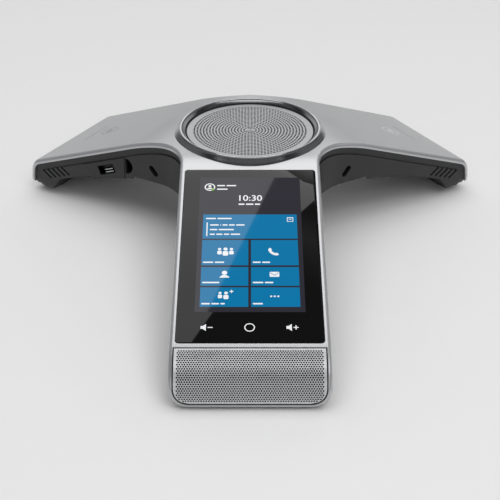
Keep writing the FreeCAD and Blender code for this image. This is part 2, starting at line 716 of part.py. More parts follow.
def make_lower_housing():
    """Dark moulded tub: stepped side walls, arched floor, pads and shelves inside."""
    band = envelope(size("lip_depth") + size("seam_gap"), size("band_inset"))
    wall = envelope(size("band_depth"), size("wall_inset"))
    outer = band.fuse(wall).cut(arch_space(0.0))
    housing = outer.cut(housing_cavity())
    for post in board_posts():
        housing = housing.fuse(post.common(outer))
    for arm, reach, y in SCREW_PLACES:
        base = arch_height_at(arm, reach)
        pad = rod(ARM_FRAME[arm], size("screw_head") + 1.7, base - size("arch_floor"),
                  base + size("screw_pad"), reach, y)
        housing = housing.fuse(pad.common(outer))
    for arm, (reach, top) in MIC_PLACES.items():
        shelf = boxed(ARM_FRAME[arm], 12.0, 18.0, LOW, top, reach)
        housing = housing.fuse(shelf.common(outer))
        boot = rod(ARM_FRAME[arm], size("mic_radius") + size("boot_wall") + 0.05, top,
                   top + size("mic_height") + size("boot_wall"), reach)
        housing = housing.cut(boot)
    for x in LAN_POSTS:
        post = rod(HUB, 2.6, size("arch_height"), lan_board_z, x, lan_middle_y)
        housing = housing.fuse(post)
    for arm, reach, y in SCREW_PLACES:
        base = arch_height_at(arm, reach)
        housing = housing.cut(rod(ARM_FRAME[arm], size("screw_radius") + 0.25, LOW, HIGH / 2, reach, y))
        housing = housing.cut(rod(ARM_FRAME[arm], size("screw_head") + 0.3, LOW,
                                  base + size("screw_seat"), reach, y))
    for x, y in BOARD_SCREWS:
        housing = housing.cut(rod(board_frame, size("board_screw") + 0.05, -5.2, 0, x, y))
    for side in SIDES:
        for slot in slot_cutters(side):
            housing = housing.cut(slot)
        housing = housing.cut(jack_hole(side, -1.0, FAR / 10))
    housing = housing.cut(side_prism("left", panel_outline(0.1), panel_back, FAR / 4))
    usb_hole = boxed(usb_frame, size("usb_width") + 0.4, FAR / 6, -size("usb_height") / 2 - 0.2,
                     size("usb_height") / 2 + 0.2, 0, side_wall)
    housing = housing.cut(usb_hole)
    housing = housing.cut(half_round("left", RECESS["radius"], inner_wall - 1.0, FAR / 6))
    cup_room = RECESS["radius"] + RECESS["wall"] + 0.05
    housing = housing.cut(half_round("left", cup_room, inner_wall - RECESS["depth"] - 0.05,
                                     inner_wall, RECESS["wall"] + 0.05))
    housing = housing.cut(boxed(HUB, size("lan_width") + 0.4, FAR / 10, size("lan_z") - 0.2,
                                size("lan_z") + size("lan_height") + 0.2, 0,
                                lan_middle_y + FAR / 20 - 2.0))
    for arm in ARMS:
        reach = foot_reach(arm)
        housing = housing.cut(boxed(ARM_FRAME[arm], size("foot_width") + 0.2, size("foot_length") + 0.2,
                                    LOW, size("hull_z") + size("foot_sink"), reach))
    return housing.removeSplitter()


def foot_reach(arm):
    """Middle of a foot along its arm."""
    end = arch_end(arm)
    return end + size("foot_margin") + size("foot_width") / 2


# ---------------------------------------------------------------- build: shells
name_part(feature("TopShell", make_top_shell()), "top_shell")
name_part(feature("LowerHousing", make_lower_housing()), "lower_housing")

# ---------------------------------------------------------------- build: loudspeaker
ring_section = [
    ("sizes.ring_base_radius", "sizes.baffle_z"),
    ("sizes.ring_base_radius", "sizes.ring_base_z"),
    ("sizes.ring_rim_radius + 0.5", "sizes.ring_rim_z - 0.6"),
    ("sizes.ring_rim_radius - 0.1", "sizes.ring_rim_z"),
    ("sizes.ring_rim_radius - 0.9", "sizes.ring_rim_z - 0.1"),
    ("sizes.disc_radius + 0.9", "sizes.disc_z + 0.5"),
    ("sizes.disc_radius + 0.15", "sizes.disc_z + 0.1"),
    ("sizes.disc_radius + 0.15", "sizes.disc_z - sizes.grille_thick"),
    ("sizes.disc_radius - 2.2", "sizes.disc_z - sizes.grille_thick"),
    ("sizes.disc_radius - 2.2", "sizes.disc_z - sizes.grille_thick - 1.6"),
    ("sizes.ring_base_radius - sizes.ring_wall", "sizes.ring_base_z - 1.6"),
    ("sizes.ring_base_radius - sizes.ring_wall", "sizes.baffle_z"),
]
name_part(turned_body("TrimRing", ring_section), "speaker_trim_ring", HUB)


def flat_ring(name, inner, outer, low, high):
    """Turned washer between two radii and two heights, all expressions."""
    return turned_body(name, [(inner, low), (outer, low), (outer, high), (inner, high)])


name_part(cylinder("SpeakerGrille", HUB * at(z=size("disc_z") - size("grille_thick")),
                   "sizes.disc_radius", "sizes.grille_thick"), "speaker_grille")
name_part(cylinder("SpeakerCloth",
                   HUB * at(z=size("disc_z") - size("grille_thick") - size("cloth_thick")),
                   "sizes.disc_radius - 2.3", "sizes.cloth_thick"), "speaker_cloth")
BAFFLE_LOW = "(sizes.baffle_z - sizes.baffle_thick)"
FLANGE_TOP = "(sizes.baffle_z - sizes.baffle_thick - sizes.gasket_thick)"
PLATE_TOP = "(sizes.baffle_z - sizes.baffle_thick - sizes.gasket_thick - sizes.basket_depth)"
baffle_low = size("baffle_z") - size("baffle_thick")
flange_top = baffle_low - size("gasket_thick")
plate_top = flange_top - size("basket_depth")
name_part(flat_ring("Baffle", "sizes.driver_opening", "sizes.baffle_radius", BAFFLE_LOW,
                    "sizes.baffle_z"), "speaker_baffle", HUB)
name_part(flat_ring("Gasket", "sizes.driver_opening + 0.6", "sizes.driver_radius - 0.5",
                    FLANGE_TOP, BAFFLE_LOW), "speaker_gasket", HUB)
basket_section = [
    ("sizes.driver_opening", FLANGE_TOP),
    ("sizes.driver_opening", FLANGE_TOP + " - 5.5"),
    ("sizes.magnet_radius + 0.5", PLATE_TOP + " + sizes.basket_wall"),
    ("12", PLATE_TOP + " + sizes.basket_wall"),
    ("12", PLATE_TOP),
    ("sizes.magnet_radius + 1", PLATE_TOP),
    ("sizes.driver_opening + sizes.basket_wall", FLANGE_TOP + " - 6"),
    ("sizes.driver_opening + sizes.basket_wall", FLANGE_TOP + " - sizes.basket_wall"),
    ("sizes.driver_radius", FLANGE_TOP + " - sizes.basket_wall"),
    ("sizes.driver_radius", FLANGE_TOP),
]
name_part(turned_body("Basket", basket_section), "speaker_basket", HUB)
PLATE_LOW = PLATE_TOP + " - sizes.plate_thick"
MAGNET_LOW = PLATE_LOW + " - sizes.magnet_thick"
name_part(flat_ring("FrontPlate", "sizes.coil_radius + sizes.coil_wall / 2 + sizes.coil_gap",
                    "sizes.magnet_radius", PLATE_LOW, PLATE_TOP), "speaker_front_plate", HUB)
name_part(flat_ring("Magnet", "sizes.coil_radius + 2.6", "sizes.magnet_radius",
                    MAGNET_LOW, PLATE_LOW), "speaker_magnet", HUB)
POLE = "(sizes.coil_radius - sizes.coil_wall / 2 - sizes.coil_gap)"
yoke_section = [
    ("0", MAGNET_LOW + " - sizes.plate_thick"),
    ("sizes.magnet_radius", MAGNET_LOW + " - sizes.plate_thick"),
    ("sizes.magnet_radius", MAGNET_LOW),
    (POLE, MAGNET_LOW),
    (POLE, PLATE_TOP),
    ("0", PLATE_TOP),
]
name_part(turned_body("Yoke", yoke_section), "speaker_yoke", HUB)
COIL_OUT = "(sizes.coil_radius + sizes.coil_wall / 2)"
COIL_IN = "(sizes.coil_radius - sizes.coil_wall / 2)"
COIL_TOP = "(" + PLATE_TOP + " + sizes.coil_rise)"
coil_out = size("coil_radius") + size("coil_wall") / 2
coil_top = plate_top + size("coil_rise")
name_part(flat_ring("VoiceCoil", COIL_IN, COIL_OUT, MAGNET_LOW + " + sizes.cone_travel + 0.5",
                    COIL_TOP), "voice_coil", HUB)
CONE_TOP = "(" + BAFFLE_LOW + " - 0.6)"
cone_section = [
    (COIL_OUT, COIL_TOP + " - sizes.cone_thick"),
    (COIL_OUT + " + 0.9", COIL_TOP + " - sizes.cone_thick"),
    ("sizes.driver_opening - sizes.cone_back", CONE_TOP + " - sizes.cone_thick"),
    ("sizes.driver_opening - sizes.cone_back", CONE_TOP),
    (COIL_OUT, COIL_TOP),
]
name_part(turned_body("Cone", cone_section), "speaker_cone", HUB)


def make_dust_cap():
    """Shallow dome that closes the voice coil."""
    radius, wall = coil_out + 0.9, 0.5
    ball = radius * 1.3
    sink = math.sqrt(ball * ball - radius * radius) - 0.3
    outer = Part.makeSphere(ball, Vector(0, 0, coil_top - sink))
    inner = Part.makeSphere(ball - wall, Vector(0, 0, coil_top - sink))
    above = Part.makeCylinder(ball + 1, ball, Vector(0, 0, coil_top + 0.3))
    return outer.cut(inner).common(above)


def make_surround():
    """Half roll of rubber between the cone's edge and the basket's flange."""
    roll = size("surround_radius")
    middle = size("driver_opening") - size("cone_back") + roll
    outer = Part.makeTorus(middle, roll, Vector(0, 0, flange_top))
    inner = Part.makeTorus(middle, roll - 0.4, Vector(0, 0, flange_top))
    above = Part.makeCylinder(size("driver_radius"), roll + 1, Vector(0, 0, flange_top + 0.05))
    return outer.cut(inner).common(above)


name_part(feature("DustCap", make_dust_cap()), "speaker_dust_cap", HUB)
name_part(feature("Surround", make_surround()), "speaker_surround", HUB)
SPIDER_LOW = PLATE_TOP + " + sizes.basket_wall"
name_part(flat_ring("Spider", COIL_OUT + " + 0.05", "sizes.magnet_radius - 0.5", SPIDER_LOW,
                    SPIDER_LOW + " + 0.4"), "speaker_spider", HUB)
CUP_LOW = "(sizes.arch_height + sizes.arch_floor + 0.1)"
cup_section = [
    ("0", CUP_LOW),
    ("sizes.enclosure_radius", CUP_LOW),
    ("sizes.enclosure_radius", BAFFLE_LOW),
    ("sizes.enclosure_radius - 1.5", BAFFLE_LOW),
    ("sizes.enclosure_radius - 1.5", CUP_LOW + " + 0.9"),
    ("0", CUP_LOW + " + 0.9"),
]
name_part(turned_body("Enclosure", cup_section), "speaker_enclosure", HUB)


def screw(frame, radius, head, top, seat, tip):
    """Pan-head screw along a frame's Z: shank from seat to tip, head from seat to top."""
    shank = rod(frame, radius, min(seat, tip), max(seat, tip))
    return shank.fuse(rod(frame, head, min(seat, top), max(seat, top))).removeSplitter()


def driver_screws():
    """Four screws up through the basket's flange into the baffle."""
    screws = []
    for turn in (45, 135, 225, 315):
        spot = at(axis=Vector(0, 0, 1), angle=turn) * at(size("driver_radius") - 2.4)
        screws.append(screw(spot, 1.0, 1.9, flange_top - 3.0, flange_top - size("basket_wall"),
                            baffle_low + 2.0))
    return screws


def with_holes(label, screws):
    """Give a turned piece the holes that its screws pass through."""
    piece = [o for o in SUBPARTS if o.Label == label][0]
    SUBPARTS.remove(piece)
    piece.Label = label + "_plain"
    tools = feature(label + "_screw_space", Part.makeCompound(screws))
    tools.Placement = piece.Placement
    name_part(cut(label + "_drilled", piece, tools), label)


for drilled in ("speaker_basket", "speaker_gasket", "speaker_baffle"):
    with_holes(drilled, driver_screws())
name_part(feature("DriverScrews", Part.makeCompound(driver_screws())), "speaker_screws", HUB)

# ---------------------------------------------------------------- build: display
glass_low = size("glass_proud") - size("glass_thick")
glass = box("GlassBlank", glass_frame * at(glass_middle, 0, glass_low),
            "sizes.glass_length", "sizes.glass_width", "sizes.glass_thick")
doc.recompute()
rounded = doc.addObject("Part::Fillet", "GlassCorners")
rounded.Base = glass
along_normal = glass_frame.Rotation.multVec(Vector(0, 0, 1))
rounded.Edges = [(i, size("glass_corner"), size("glass_corner"))
                 for i, edge in enumerate(glass.Shape.Edges, start=1)
                 if abs(abs(edge.tangentAt(0).dot(along_normal)) - 1) < 1e-6]
name_part(rounded, "touch_glass")
display_middle = size("display_start") + size("display_length") / 2
name_part(box("Display", glass_frame * at(display_middle, 0, glass_low - size("display_thick")),
              "sizes.display_length", "sizes.display_width", "sizes.display_thick"), "display_module")
name_part(box("KeyBoard", glass_frame * at(key_row, 0, glass_low - 1.0),
              "sizes.key_board_length", "sizes.key_board_width", "1.0"), "touch_key_board")


def make_display_frame():
    """Bracket under the glass: a plate below the roof, a raised rim and two windows."""
    low = -size("roof_wall") - 0.95
    plate = boxed(glass_frame, size("glass_length") + 1.2, size("glass_width") + 1.7, low,
                  -size("roof_wall"), glass_middle + 0.8)
    below = boxed(glass_frame, FAR, FAR, -FAR, low + 0.1)
    for boss, _bore in screw_bosses(["front"]):
        plate = plate.fuse(boss.common(below))
    rim = boxed(glass_frame, size("glass_length") - 0.4, size("glass_width") - 0.4,
                -size("roof_wall"), glass_low, glass_middle)
    frame = plate.fuse(rim)
    frame = frame.cut(boxed(glass_frame, size("display_length") + 0.4, size("display_width") + 0.4,
                            low - 1, 1, display_middle))
    frame = frame.cut(boxed(glass_frame, size("key_board_length") + 0.4,
                            size("key_board_width") + 0.4, low - 1, 1, key_row))
    for _boss, bore in screw_bosses(["front"]):
        frame = frame.cut(bore)
    return frame.removeSplitter()


name_part(feature("DisplayFrame", make_display_frame()), "display_frame")

# ---------------------------------------------------------------- build: nose
grille_in = size("grille_sink") + size("grille_thick")
cloth_in = grille_in + size("cloth_thick")
name_part(feature("NoseGrille", nose_layer(size("grille_sink"), grille_in, 0.0)), "nose_grille")
name_part(feature("NoseCloth", nose_layer(grille_in, cloth_in, -0.6)), "nose_cloth")
carrier = nose_layer(cloth_in, size("lip_depth"), size("grille_groove") - 0.2)
name_part(feature("NoseCarrier", carrier.cut(nose_region(-3.0))), "nose_carrier")


# ---------------------------------------------------------------- build: boards
def make_main_board():
    board = boxed(board_frame, size("board_length"), size("board_width"), -size("board_thick"), 0)
    for x, y in BOARD_SCREWS:
        board = board.cut(rod(board_frame, size("board_screw") + 0.1, -5, 5, x, y))
    return board


name_part(feature("MainBoard", make_main_board()), "main_board")
name_part(box("ShieldCan", board_frame, "42", "36", "2.6"), "shield_can")
board_screws = [screw(board_frame * at(x, y), size("board_screw"), 2.2, 1.4, 0.0, -5.0)
                for x, y in BOARD_SCREWS]
name_part(feature("BoardScrews", Part.makeCompound(board_screws)), "board_screws")

# ---------------------------------------------------------------- build: ports
panel = side_prism("left", panel_outline(0.0), panel_back, panel_back + size("panel_thick"))
usb_mouth = boxed(usb_frame, size("usb_width"), FAR / 6, -size("usb_height") / 2,
                  size("usb_height") / 2, 0, side_wall)
name_part(feature("PortPanel", panel.cut(usb_mouth)), "port_panel")
usb_front = panel_back + size("panel_thick") - 0.4
usb_middle = usb_front - size("usb_depth") / 2
usb_place = usb_frame * at(0, usb_middle, 0)
usb_outer = box("UsbOuter", usb_frame * at(0, usb_middle, -size("usb_height") / 2),
                "sizes.usb_width", "sizes.usb_depth", "sizes.usb_height")
usb_inner = box("UsbInner", usb_frame * at(0, usb_middle + 0.6, -size("usb_height") / 2 + 0.5),
                "sizes.usb_width - 1", "sizes.usb_depth", "sizes.usb_height - 1")
name_part(cut("UsbSocket", usb_outer, usb_inner), "usb_socket")
tongue_back = usb_front - size("usb_depth") + 0.6
name_part(box("UsbTongue", usb_frame * at(0, tongue_back + 6.5, 0.2), "11.6", "13", "1.9"),
          "usb_tongue")
name_part(box("UsbBoard", usb_frame * at(0, usb_middle - 2.6, size("usb_height") / 2),
              "26", "sizes.usb_depth", "sizes.board_thick"), "usb_board")
recess_outer = half_round("left", RECESS["radius"] + RECESS["wall"],
                          inner_wall - RECESS["depth"], inner_wall, RECESS["wall"])
recess_inner = half_round("left", RECESS["radius"], inner_wall - RECESS["depth"] + RECESS["wall"],
                          FAR / 6)
name_part(feature("RecessCup", recess_outer.cut(recess_inner)), "side_recess_cup")
for side in SIDES:
    jack = rod(jack_frame(side), JACK["long"] / 2 + 1.2, -10.0, 0.0)
    jack = jack.cut(jack_hole(side, -8.5, 1.0))
    name_part(feature(side.title() + "Jack", jack), f"expansion_jack_{side}")
lan_outer = box("LanOuter", HUB * at(0, lan_middle_y, size("lan_z")), "sizes.lan_width",
                str(lan_depth), "sizes.lan_height")
lan_inner = box("LanInner", HUB * at(0, lan_middle_y + 2.0, size("lan_z") + 1.2),
                "sizes.lan_width - 2.4", str(lan_depth), "sizes.lan_height - 3")
name_part(cut("LanSocket", lan_outer, lan_inner), "network_socket")
name_part(box("LanBoard", HUB * at(0, lan_middle_y - 1.6, lan_board_z), "52", "12.6",
              "sizes.board_thick"), "network_board")

# ---------------------------------------------------------------- build: arms
for arm, (reach, top) in MIC_PLACES.items():
    radius, wall = size("mic_radius"), size("boot_wall")
    spot = ARM_FRAME[arm] * at(reach, 0, top)
    boot_height = size("mic_height") + wall
    outer = cylinder(arm.title() + "BootOuter", spot, "sizes.mic_radius + sizes.boot_wall",
                     "sizes.mic_height + sizes.boot_wall")
    inner = cylinder(arm.title() + "BootInner", spot * at(z=wall), "sizes.mic_radius",
                     "sizes.mic_height + sizes.boot_wall")
    name_part(cut(arm.title() + "Boot", outer, inner), f"microphone_boot_{arm}")
    name_part(cylinder(arm.title() + "Mic", spot * at(z=wall), "sizes.mic_radius",
                       "sizes.mic_height"), f"microphone_{arm}")
for side in SIDES:
    roof_low = -size("roof_wall")
    place = slope_frame(side, size("mute_reach")) * at(0, 0, roof_low - 1.2)
    name_part(box(side.title() + "TouchBoard", place, "40", "46", "1.2"), f"mute_touch_board_{side}")
    place = slope_frame(side, size("light_reach")) * at(0, 0, roof_low)
    name_part(box(side.title() + "Light", place, "sizes.light_width", "sizes.light_length",
                  "sizes.roof_wall"), f"mute_light_{side}")
for arm, frame in ARM_FRAME.items():
    name_part(box(arm.title() + "Foot", frame * at(foot_reach(arm)), "sizes.foot_width",
                  "sizes.foot_length", "sizes.hull_z + sizes.foot_sink"), f"foot_{arm}")
housing_screws = []
for arm, reach, y in SCREW_PLACES:
    seat = arch_height_at(arm, reach) + size("screw_seat")
    housing_screws.append(screw(ARM_FRAME[arm] * at(reach, y, seat), size("screw_radius"),
                                size("screw_head"), -2.0, 0.0, size("screw_length")))
name_part(feature("HousingScrews", Part.makeCompound(housing_screws)), "housing_screws")

# ---------------------------------------------------------------- check and write
doc.recompute()
for obj in doc.Objects:
    if "Invalid" in obj.State or "Error" in obj.State:
        raise RuntimeError(f"{obj.Name} failed: {obj.State}")
os.makedirs("parts", exist_ok=True)
for part in SUBPARTS:
    shape = part.Shape
    if shape.isNull() or not shape.isValid() or shape.Volume <= 0:
        raise RuntimeError(f"{part.Label} has no valid solid")
    shape.exportStep(f"parts/{part.Label}.step")
    extent = shape.BoundBox
    print(f"{part.Label}: {len(shape.Solids)} solid(s), {shape.Volume:.0f} mm3, "
          f"z {extent.ZMin:.1f} to {extent.ZMax:.1f}")
print(f"{len(SUBPARTS)} pieces; hub axis at Y = {HUB_Y:.2f}")
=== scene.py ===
"""Three-armed conference telephone: shells, touch display, loudspeaker, ports and studio."""
import json
import logging
import math
from dataclasses import dataclass
from enum import Enum

import bpy
from mathutils import Matrix, Vector


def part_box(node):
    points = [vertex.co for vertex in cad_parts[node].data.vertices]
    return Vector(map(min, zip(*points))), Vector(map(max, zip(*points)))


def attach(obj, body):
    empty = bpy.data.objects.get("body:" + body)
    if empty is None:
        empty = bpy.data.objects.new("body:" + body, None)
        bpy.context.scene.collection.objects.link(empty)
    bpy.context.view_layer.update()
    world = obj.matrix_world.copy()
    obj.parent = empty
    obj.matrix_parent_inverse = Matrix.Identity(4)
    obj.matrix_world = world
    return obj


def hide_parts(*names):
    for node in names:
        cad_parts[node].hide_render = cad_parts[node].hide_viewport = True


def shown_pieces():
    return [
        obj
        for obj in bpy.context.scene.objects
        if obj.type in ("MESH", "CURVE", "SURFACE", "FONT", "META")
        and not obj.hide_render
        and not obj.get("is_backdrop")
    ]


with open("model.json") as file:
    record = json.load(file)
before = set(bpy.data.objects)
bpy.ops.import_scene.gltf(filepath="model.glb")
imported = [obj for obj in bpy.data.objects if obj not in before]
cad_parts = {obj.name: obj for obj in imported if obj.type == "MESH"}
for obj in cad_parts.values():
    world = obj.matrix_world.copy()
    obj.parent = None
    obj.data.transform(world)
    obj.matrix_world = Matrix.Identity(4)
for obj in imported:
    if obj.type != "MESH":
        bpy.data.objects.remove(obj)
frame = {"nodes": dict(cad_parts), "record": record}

Obj = bpy.types.Object
Pair = tuple[float, float]
Triple = tuple[float, float, float]
LOG = logging.getLogger("phone")
MM = 0.001
SAME = 1e-6  # points closer than this are one point, metres
BODY = "phone_body"
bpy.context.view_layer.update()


# ---- operators by hand
def deselect() -> None:
    """Leave nothing selected."""
    bpy.ops.object.select_all(action="DESELECT")


def make_active(obj: Obj) -> None:
    """Select one object alone and make it active."""
    deselect()
    obj.select_set(True)
    bpy.context.view_layer.objects.active = obj


def edit(obj: Obj, mode: str = "VERT") -> None:
    """Enter edit mode on one object with a chosen select mode."""
    make_active(obj)
    enter_edit()
    bpy.ops.mesh.select_mode(type=mode)


def enter_edit() -> None:
    """Edit mode on the active object."""
    bpy.ops.object.mode_set(mode="EDIT")


def leave_edit() -> None:
    """Back to object mode."""
    bpy.ops.object.mode_set(mode="OBJECT")


def take_all() -> None:
    """Select the whole mesh that is in edit mode."""
    bpy.ops.mesh.select_all(action="SELECT")


def take_none() -> None:
    """Select nothing of the mesh that is in edit mode."""
    bpy.ops.mesh.select_all(action="DESELECT")


def face_out() -> None:
    """Turn the selected faces outwards."""
    bpy.ops.mesh.normals_make_consistent(inside=False)


def pick(obj: Obj, kind: str, test) -> int:
    """Select the faces or edges that pass a test, and count them.

    Args:
        obj: the object in edit mode.
        kind: FACE or EDGE.
        test: called with a polygon, or with the two end points of an edge.
    """
    take_none()
    bpy.ops.mesh.select_mode(type=kind)
    leave_edit()
    points = obj.data.vertices
    items = obj.data.polygons if kind == "FACE" else obj.data.edges
    for item in items:
        ends = [item] if kind == "FACE" else [points[v].co for v in item.vertices]
        item.select = bool(test(*ends))
    count = sum(item.select for item in items)
    enter_edit()
    return count


def apply_modifier(obj: Obj, kind: str, **settings) -> None:
    """Add one modifier, set it and apply it."""
    make_active(obj)
    modifier = obj.modifiers.new(kind.title(), kind)
    for key, value in settings.items():
        setattr(modifier, key, value)
    bpy.ops.object.modifier_apply(modifier=modifier.name)


def smooth(obj: Obj, degrees: float = 30.0) -> None:
    """Smooth shading that keeps edges sharper than an angle."""
    make_active(obj)
    bpy.ops.object.shade_smooth_by_angle(angle=math.radians(degrees))


def clean(obj: Obj) -> None:
    """Merge doubled points and turn all faces outwards."""
    edit(obj)
    take_all()
    bpy.ops.mesh.remove_doubles(threshold=SAME)
    face_out()
    leave_edit()


def join(objs: list[Obj]) -> Obj:
    """Join several objects into the first one."""
    make_active(objs[0])
    for obj in objs[1:]:
        obj.select_set(True)
    bpy.ops.object.join()
    return objs[0]


def place(obj: Obj, matrix: Matrix) -> Obj:
    """Move a mesh into the row frame and leave the object itself unturned."""
    obj.data.transform(matrix @ obj.matrix_world)
    obj.matrix_world = Matrix.Identity(4)
    return obj


# ---- materials
def linear(code: str) -> tuple[float, float, float, float]:
    """sRGB hex colour as linear red, green, blue and alpha."""
    values = [int(code[i:i + 2], 16) / 255 for i in (1, 3, 5)]
    low = [v / 12.92 if v <= 0.04045 else ((v + 0.055) / 1.055) ** 2.4 for v in values]
    return (low[0], low[1], low[2], 1.0)


def add_node(tree: bpy.types.NodeTree, kind: str, inputs: dict | None = None, **settings):
    """Add one node.

    Args:
        tree: node tree to add to.
        kind: shader node type, without its "ShaderNode".
        inputs: socket name or index to a value or to an output socket to link.
        settings: node properties.
    """
    node = tree.nodes.new("ShaderNode" + kind)
    for key, value in settings.items():
        setattr(node, key, value)
    for key, value in (inputs or {}).items():
        if isinstance(value, bpy.types.NodeSocket):
            tree.links.new(value, node.inputs[key])
        else:
            node.inputs[key].default_value = value
    return node


class Pattern(Enum):
    """Kind of surface structure of a finish."""
    GRAIN = "moulded or painted grain"
    TURNED = "fine rings left by a lathe"
    BRUSHED = "straight brushing along X"
    WOVEN = "crossed threads"


@dataclass(frozen=True)
class Finish:
    """One real material and how its surface was made.

    Sizes are in millimetres: grain is the width of the smallest mark, blotch the width of
    the slow variation of tone and gloss, depth the height of the marks.
    """
    name: str
    base: str
    shade: str
    metallic: float = 0.0
    rough: float = 0.5
    rough_spread: float = 0.06
    grain: float = 0.4
    blotch: float = 22.0
    depth: float = 0.02
    strength: float = 0.3
    coat: float = 0.0
    coat_rough: float = 0.05
    glow: str = ""
    glow_power: float = 0.0
    pattern: Pattern = Pattern.GRAIN

    def marks(self, tree: bpy.types.NodeTree, where) -> bpy.types.NodeSocket:
        """Height of the fine marks, from 0 to 1."""
        noise_scale = 1 / (self.grain * MM)
        wave_scale = noise_scale * math.pi / 10
        if self.pattern is Pattern.GRAIN:
            return add_node(tree, "TexNoise",
                            {"Vector": where, "Scale": noise_scale, "Detail": 3.0}).outputs["Fac"]
        if self.pattern is Pattern.TURNED:
            moved = add_node(tree, "Mapping", {"Vector": where, "Location": (0.0, -HUB_Y, 0.0)})
            wave = add_node(tree, "TexWave",
                            {"Vector": moved.outputs["Vector"], "Scale": wave_scale, "Distortion": 0.4,
                             "Detail": 2.0, "Detail Scale": 0.6},
                            wave_type="RINGS", rings_direction="Z")
            return wave.outputs["Fac"]
        if self.pattern is Pattern.BRUSHED:
            drawn = add_node(tree, "Mapping", {"Vector": where, "Scale": (0.03, 1.0, 1.0)})
            return add_node(tree, "TexNoise",
                            {"Vector": drawn.outputs["Vector"], "Scale": noise_scale}).outputs["Fac"]
        warp, weft = (add_node(tree, "TexWave", {"Vector": where, "Scale": wave_scale},
                               bands_direction=way).outputs["Fac"] for way in ("X", "Y"))
        return add_node(tree, "Math", {0: warp, 1: weft}, operation="MULTIPLY").outputs[0]

    def build(self) -> bpy.types.Material:
        """Make the node material."""
        material = bpy.data.materials.new(self.name)
        material.use_nodes = True
        tree = material.node_tree
        shader = tree.nodes["Principled BSDF"]
        where = add_node(tree, "TexCoord").outputs["Object"]
        slow = add_node(tree, "TexNoise",
                        {"Vector": where, "Scale": 1 / (self.blotch * MM), "Detail": 4.0}).outputs["Fac"]
        fine = self.marks(tree, where)
        tone = add_node(tree, "Math", {0: slow, 1: fine}, operation="MULTIPLY")
        both = add_node(tree, "Mix",
                        {0: tone.outputs[0], 6: linear(self.shade), 7: linear(self.base)}, data_type="RGBA")
        tree.links.new(both.outputs[2], shader.inputs["Base Color"])
        gloss = add_node(tree, "MapRange",
                         {"Value": slow, "From Min": 0.25, "From Max": 0.75,
                          "To Min": max(self.rough - self.rough_spread, 0.01),
                          "To Max": self.rough + self.rough_spread})
        tree.links.new(gloss.outputs["Result"], shader.inputs["Roughness"])
        bump = add_node(tree, "Bump",
                        {"Height": fine, "Strength": self.strength, "Distance": self.depth * MM})
        tree.links.new(bump.outputs["Normal"], shader.inputs["Normal"])
        shader.inputs["Metallic"].default_value = self.metallic
        shader.inputs["Coat Weight"].default_value = self.coat
        shader.inputs["Coat Roughness"].default_value = self.coat_rough
        if self.glow:
            shader.inputs["Emission Color"].default_value = linear(self.glow)
            shader.inputs["Emission Strength"].default_value = self.glow_power
        return material


# Satin silver lacquer over moulded ABS: metal flake gives a soft sheen and a faint sparkle.
SILVER_LACQUER = Finish("Satin silver lacquer on ABS", "#C8C9CA", "#B6B7B9", metallic=0.66, rough=0.30,
                        rough_spread=0.03, grain=0.25, depth=0.006, strength=0.25, coat=0.15,
                        coat_rough=0.25)
# Dark ABS with spark-eroded texture: fine matt grain that greys the highlights.
DARK_ABS = Finish("Textured charcoal ABS", "#2E2E2F", "#242425", rough=0.52, grain=0.45, depth=0.03)
# The port panel is the same plastic, moulded against a smoother face.
PANEL_ABS = Finish("Semi-gloss black ABS", "#161617", "#101011", rough=0.34, grain=0.8, depth=0.01)
BLACK_NYLON = Finish("Black glass-filled nylon", "#0E0E0F", "#080808", rough=0.6, grain=0.5, depth=0.02)
# Turned polished aluminium: polished, with the fine circular lines of the lathe. Its colour is set darker
# than the crown's copy of the same metal, painted shade.
TURNED_RING = Finish("Turned polished aluminium", "#A9AAAC", "#8E8F92", metallic=1.0, rough=0.17,
                     rough_spread=0.03, grain=0.5, depth=0.006, strength=0.35, pattern=Pattern.TURNED)
# The ring's crown: a much brighter copy of the ring's aluminium, a painted highlight along the rim's top.
CROWN_HIGHLIGHT_PAINT = Finish("Aluminium crown, painted highlight", "#F4F5F6", "#E6E7E9", metallic=1.0, rough=0.12,
                  rough_spread=0.02, grain=0.5, depth=0.003, pattern=Pattern.TURNED)
# Punched steel sheet with a clear-coated nickel tone: bright webs round dark holes.
PUNCHED_STEEL = Finish("Punched nickel-plated steel", "#D6D7D8", "#C2C3C5", metallic=0.45, rough=0.36,
                       grain=0.6, depth=0.006)
ACOUSTIC_CLOTH = Finish("Black acoustic cloth", "#101011", "#040404", rough=0.9, grain=0.35, depth=0.08,
                        strength=0.8, pattern=Pattern.WOVEN)


def glossy(name: str, base: str, shade: str, glow: str = "", power: float = 0.0) -> Finish:
    """Polished glass, or a lit field under it, with a glow colour and its strength."""
    return Finish(name, base, shade, rough=0.03, rough_spread=0.01, grain=6.0, depth=0.0005,
                  strength=0.05, glow=glow, glow_power=power)


# Strengthened cover glass printed black behind: deep black with clear reflections.
COVER_GLASS = glossy("Black-printed cover glass", "#0B0B0C", "#070708")
SCREEN_OFF = glossy("Lit display, dark background", "#0B0B0D", "#08080A", "#2C2A33", 0.9)
SCREEN_BLUE = glossy("Lit display, blue field", "#06202F", "#041924", "#0079AE", 0.86)
SCREEN_WHITE = glossy("Lit display, white mark", "#8A8A8C", "#808082", "#F2F4F6", 0.75)
SCREEN_GREEN = glossy("Lit display, green mark", "#1F3A10", "#1A300E", "#7CB82F", 0.8)
# One pad print in two copies, white for the right arm and grey for the left: the difference is painted
# light and shade.
PRINT_SHADED_COPY = Finish("Pad print, painted shade copy", "#8E9092", "#85878A", rough=0.45, grain=0.4, depth=0.003)
PRINT_LIT_COPY = Finish("Pad print, painted light copy", "#ECEDEE", "#E0E1E2", rough=0.4, grain=0.4, depth=0.003)
LIGHT_GUIDE = Finish("Frosted light guide", "#8B8D90", "#7E8083", rough=0.4, grain=0.5, depth=0.01,
                     glow="#AEB6BE", glow_power=0.08)
RUBBER = Finish("Moulded silicone rubber", "#202021", "#161617", rough=0.72, grain=0.7, depth=0.03)
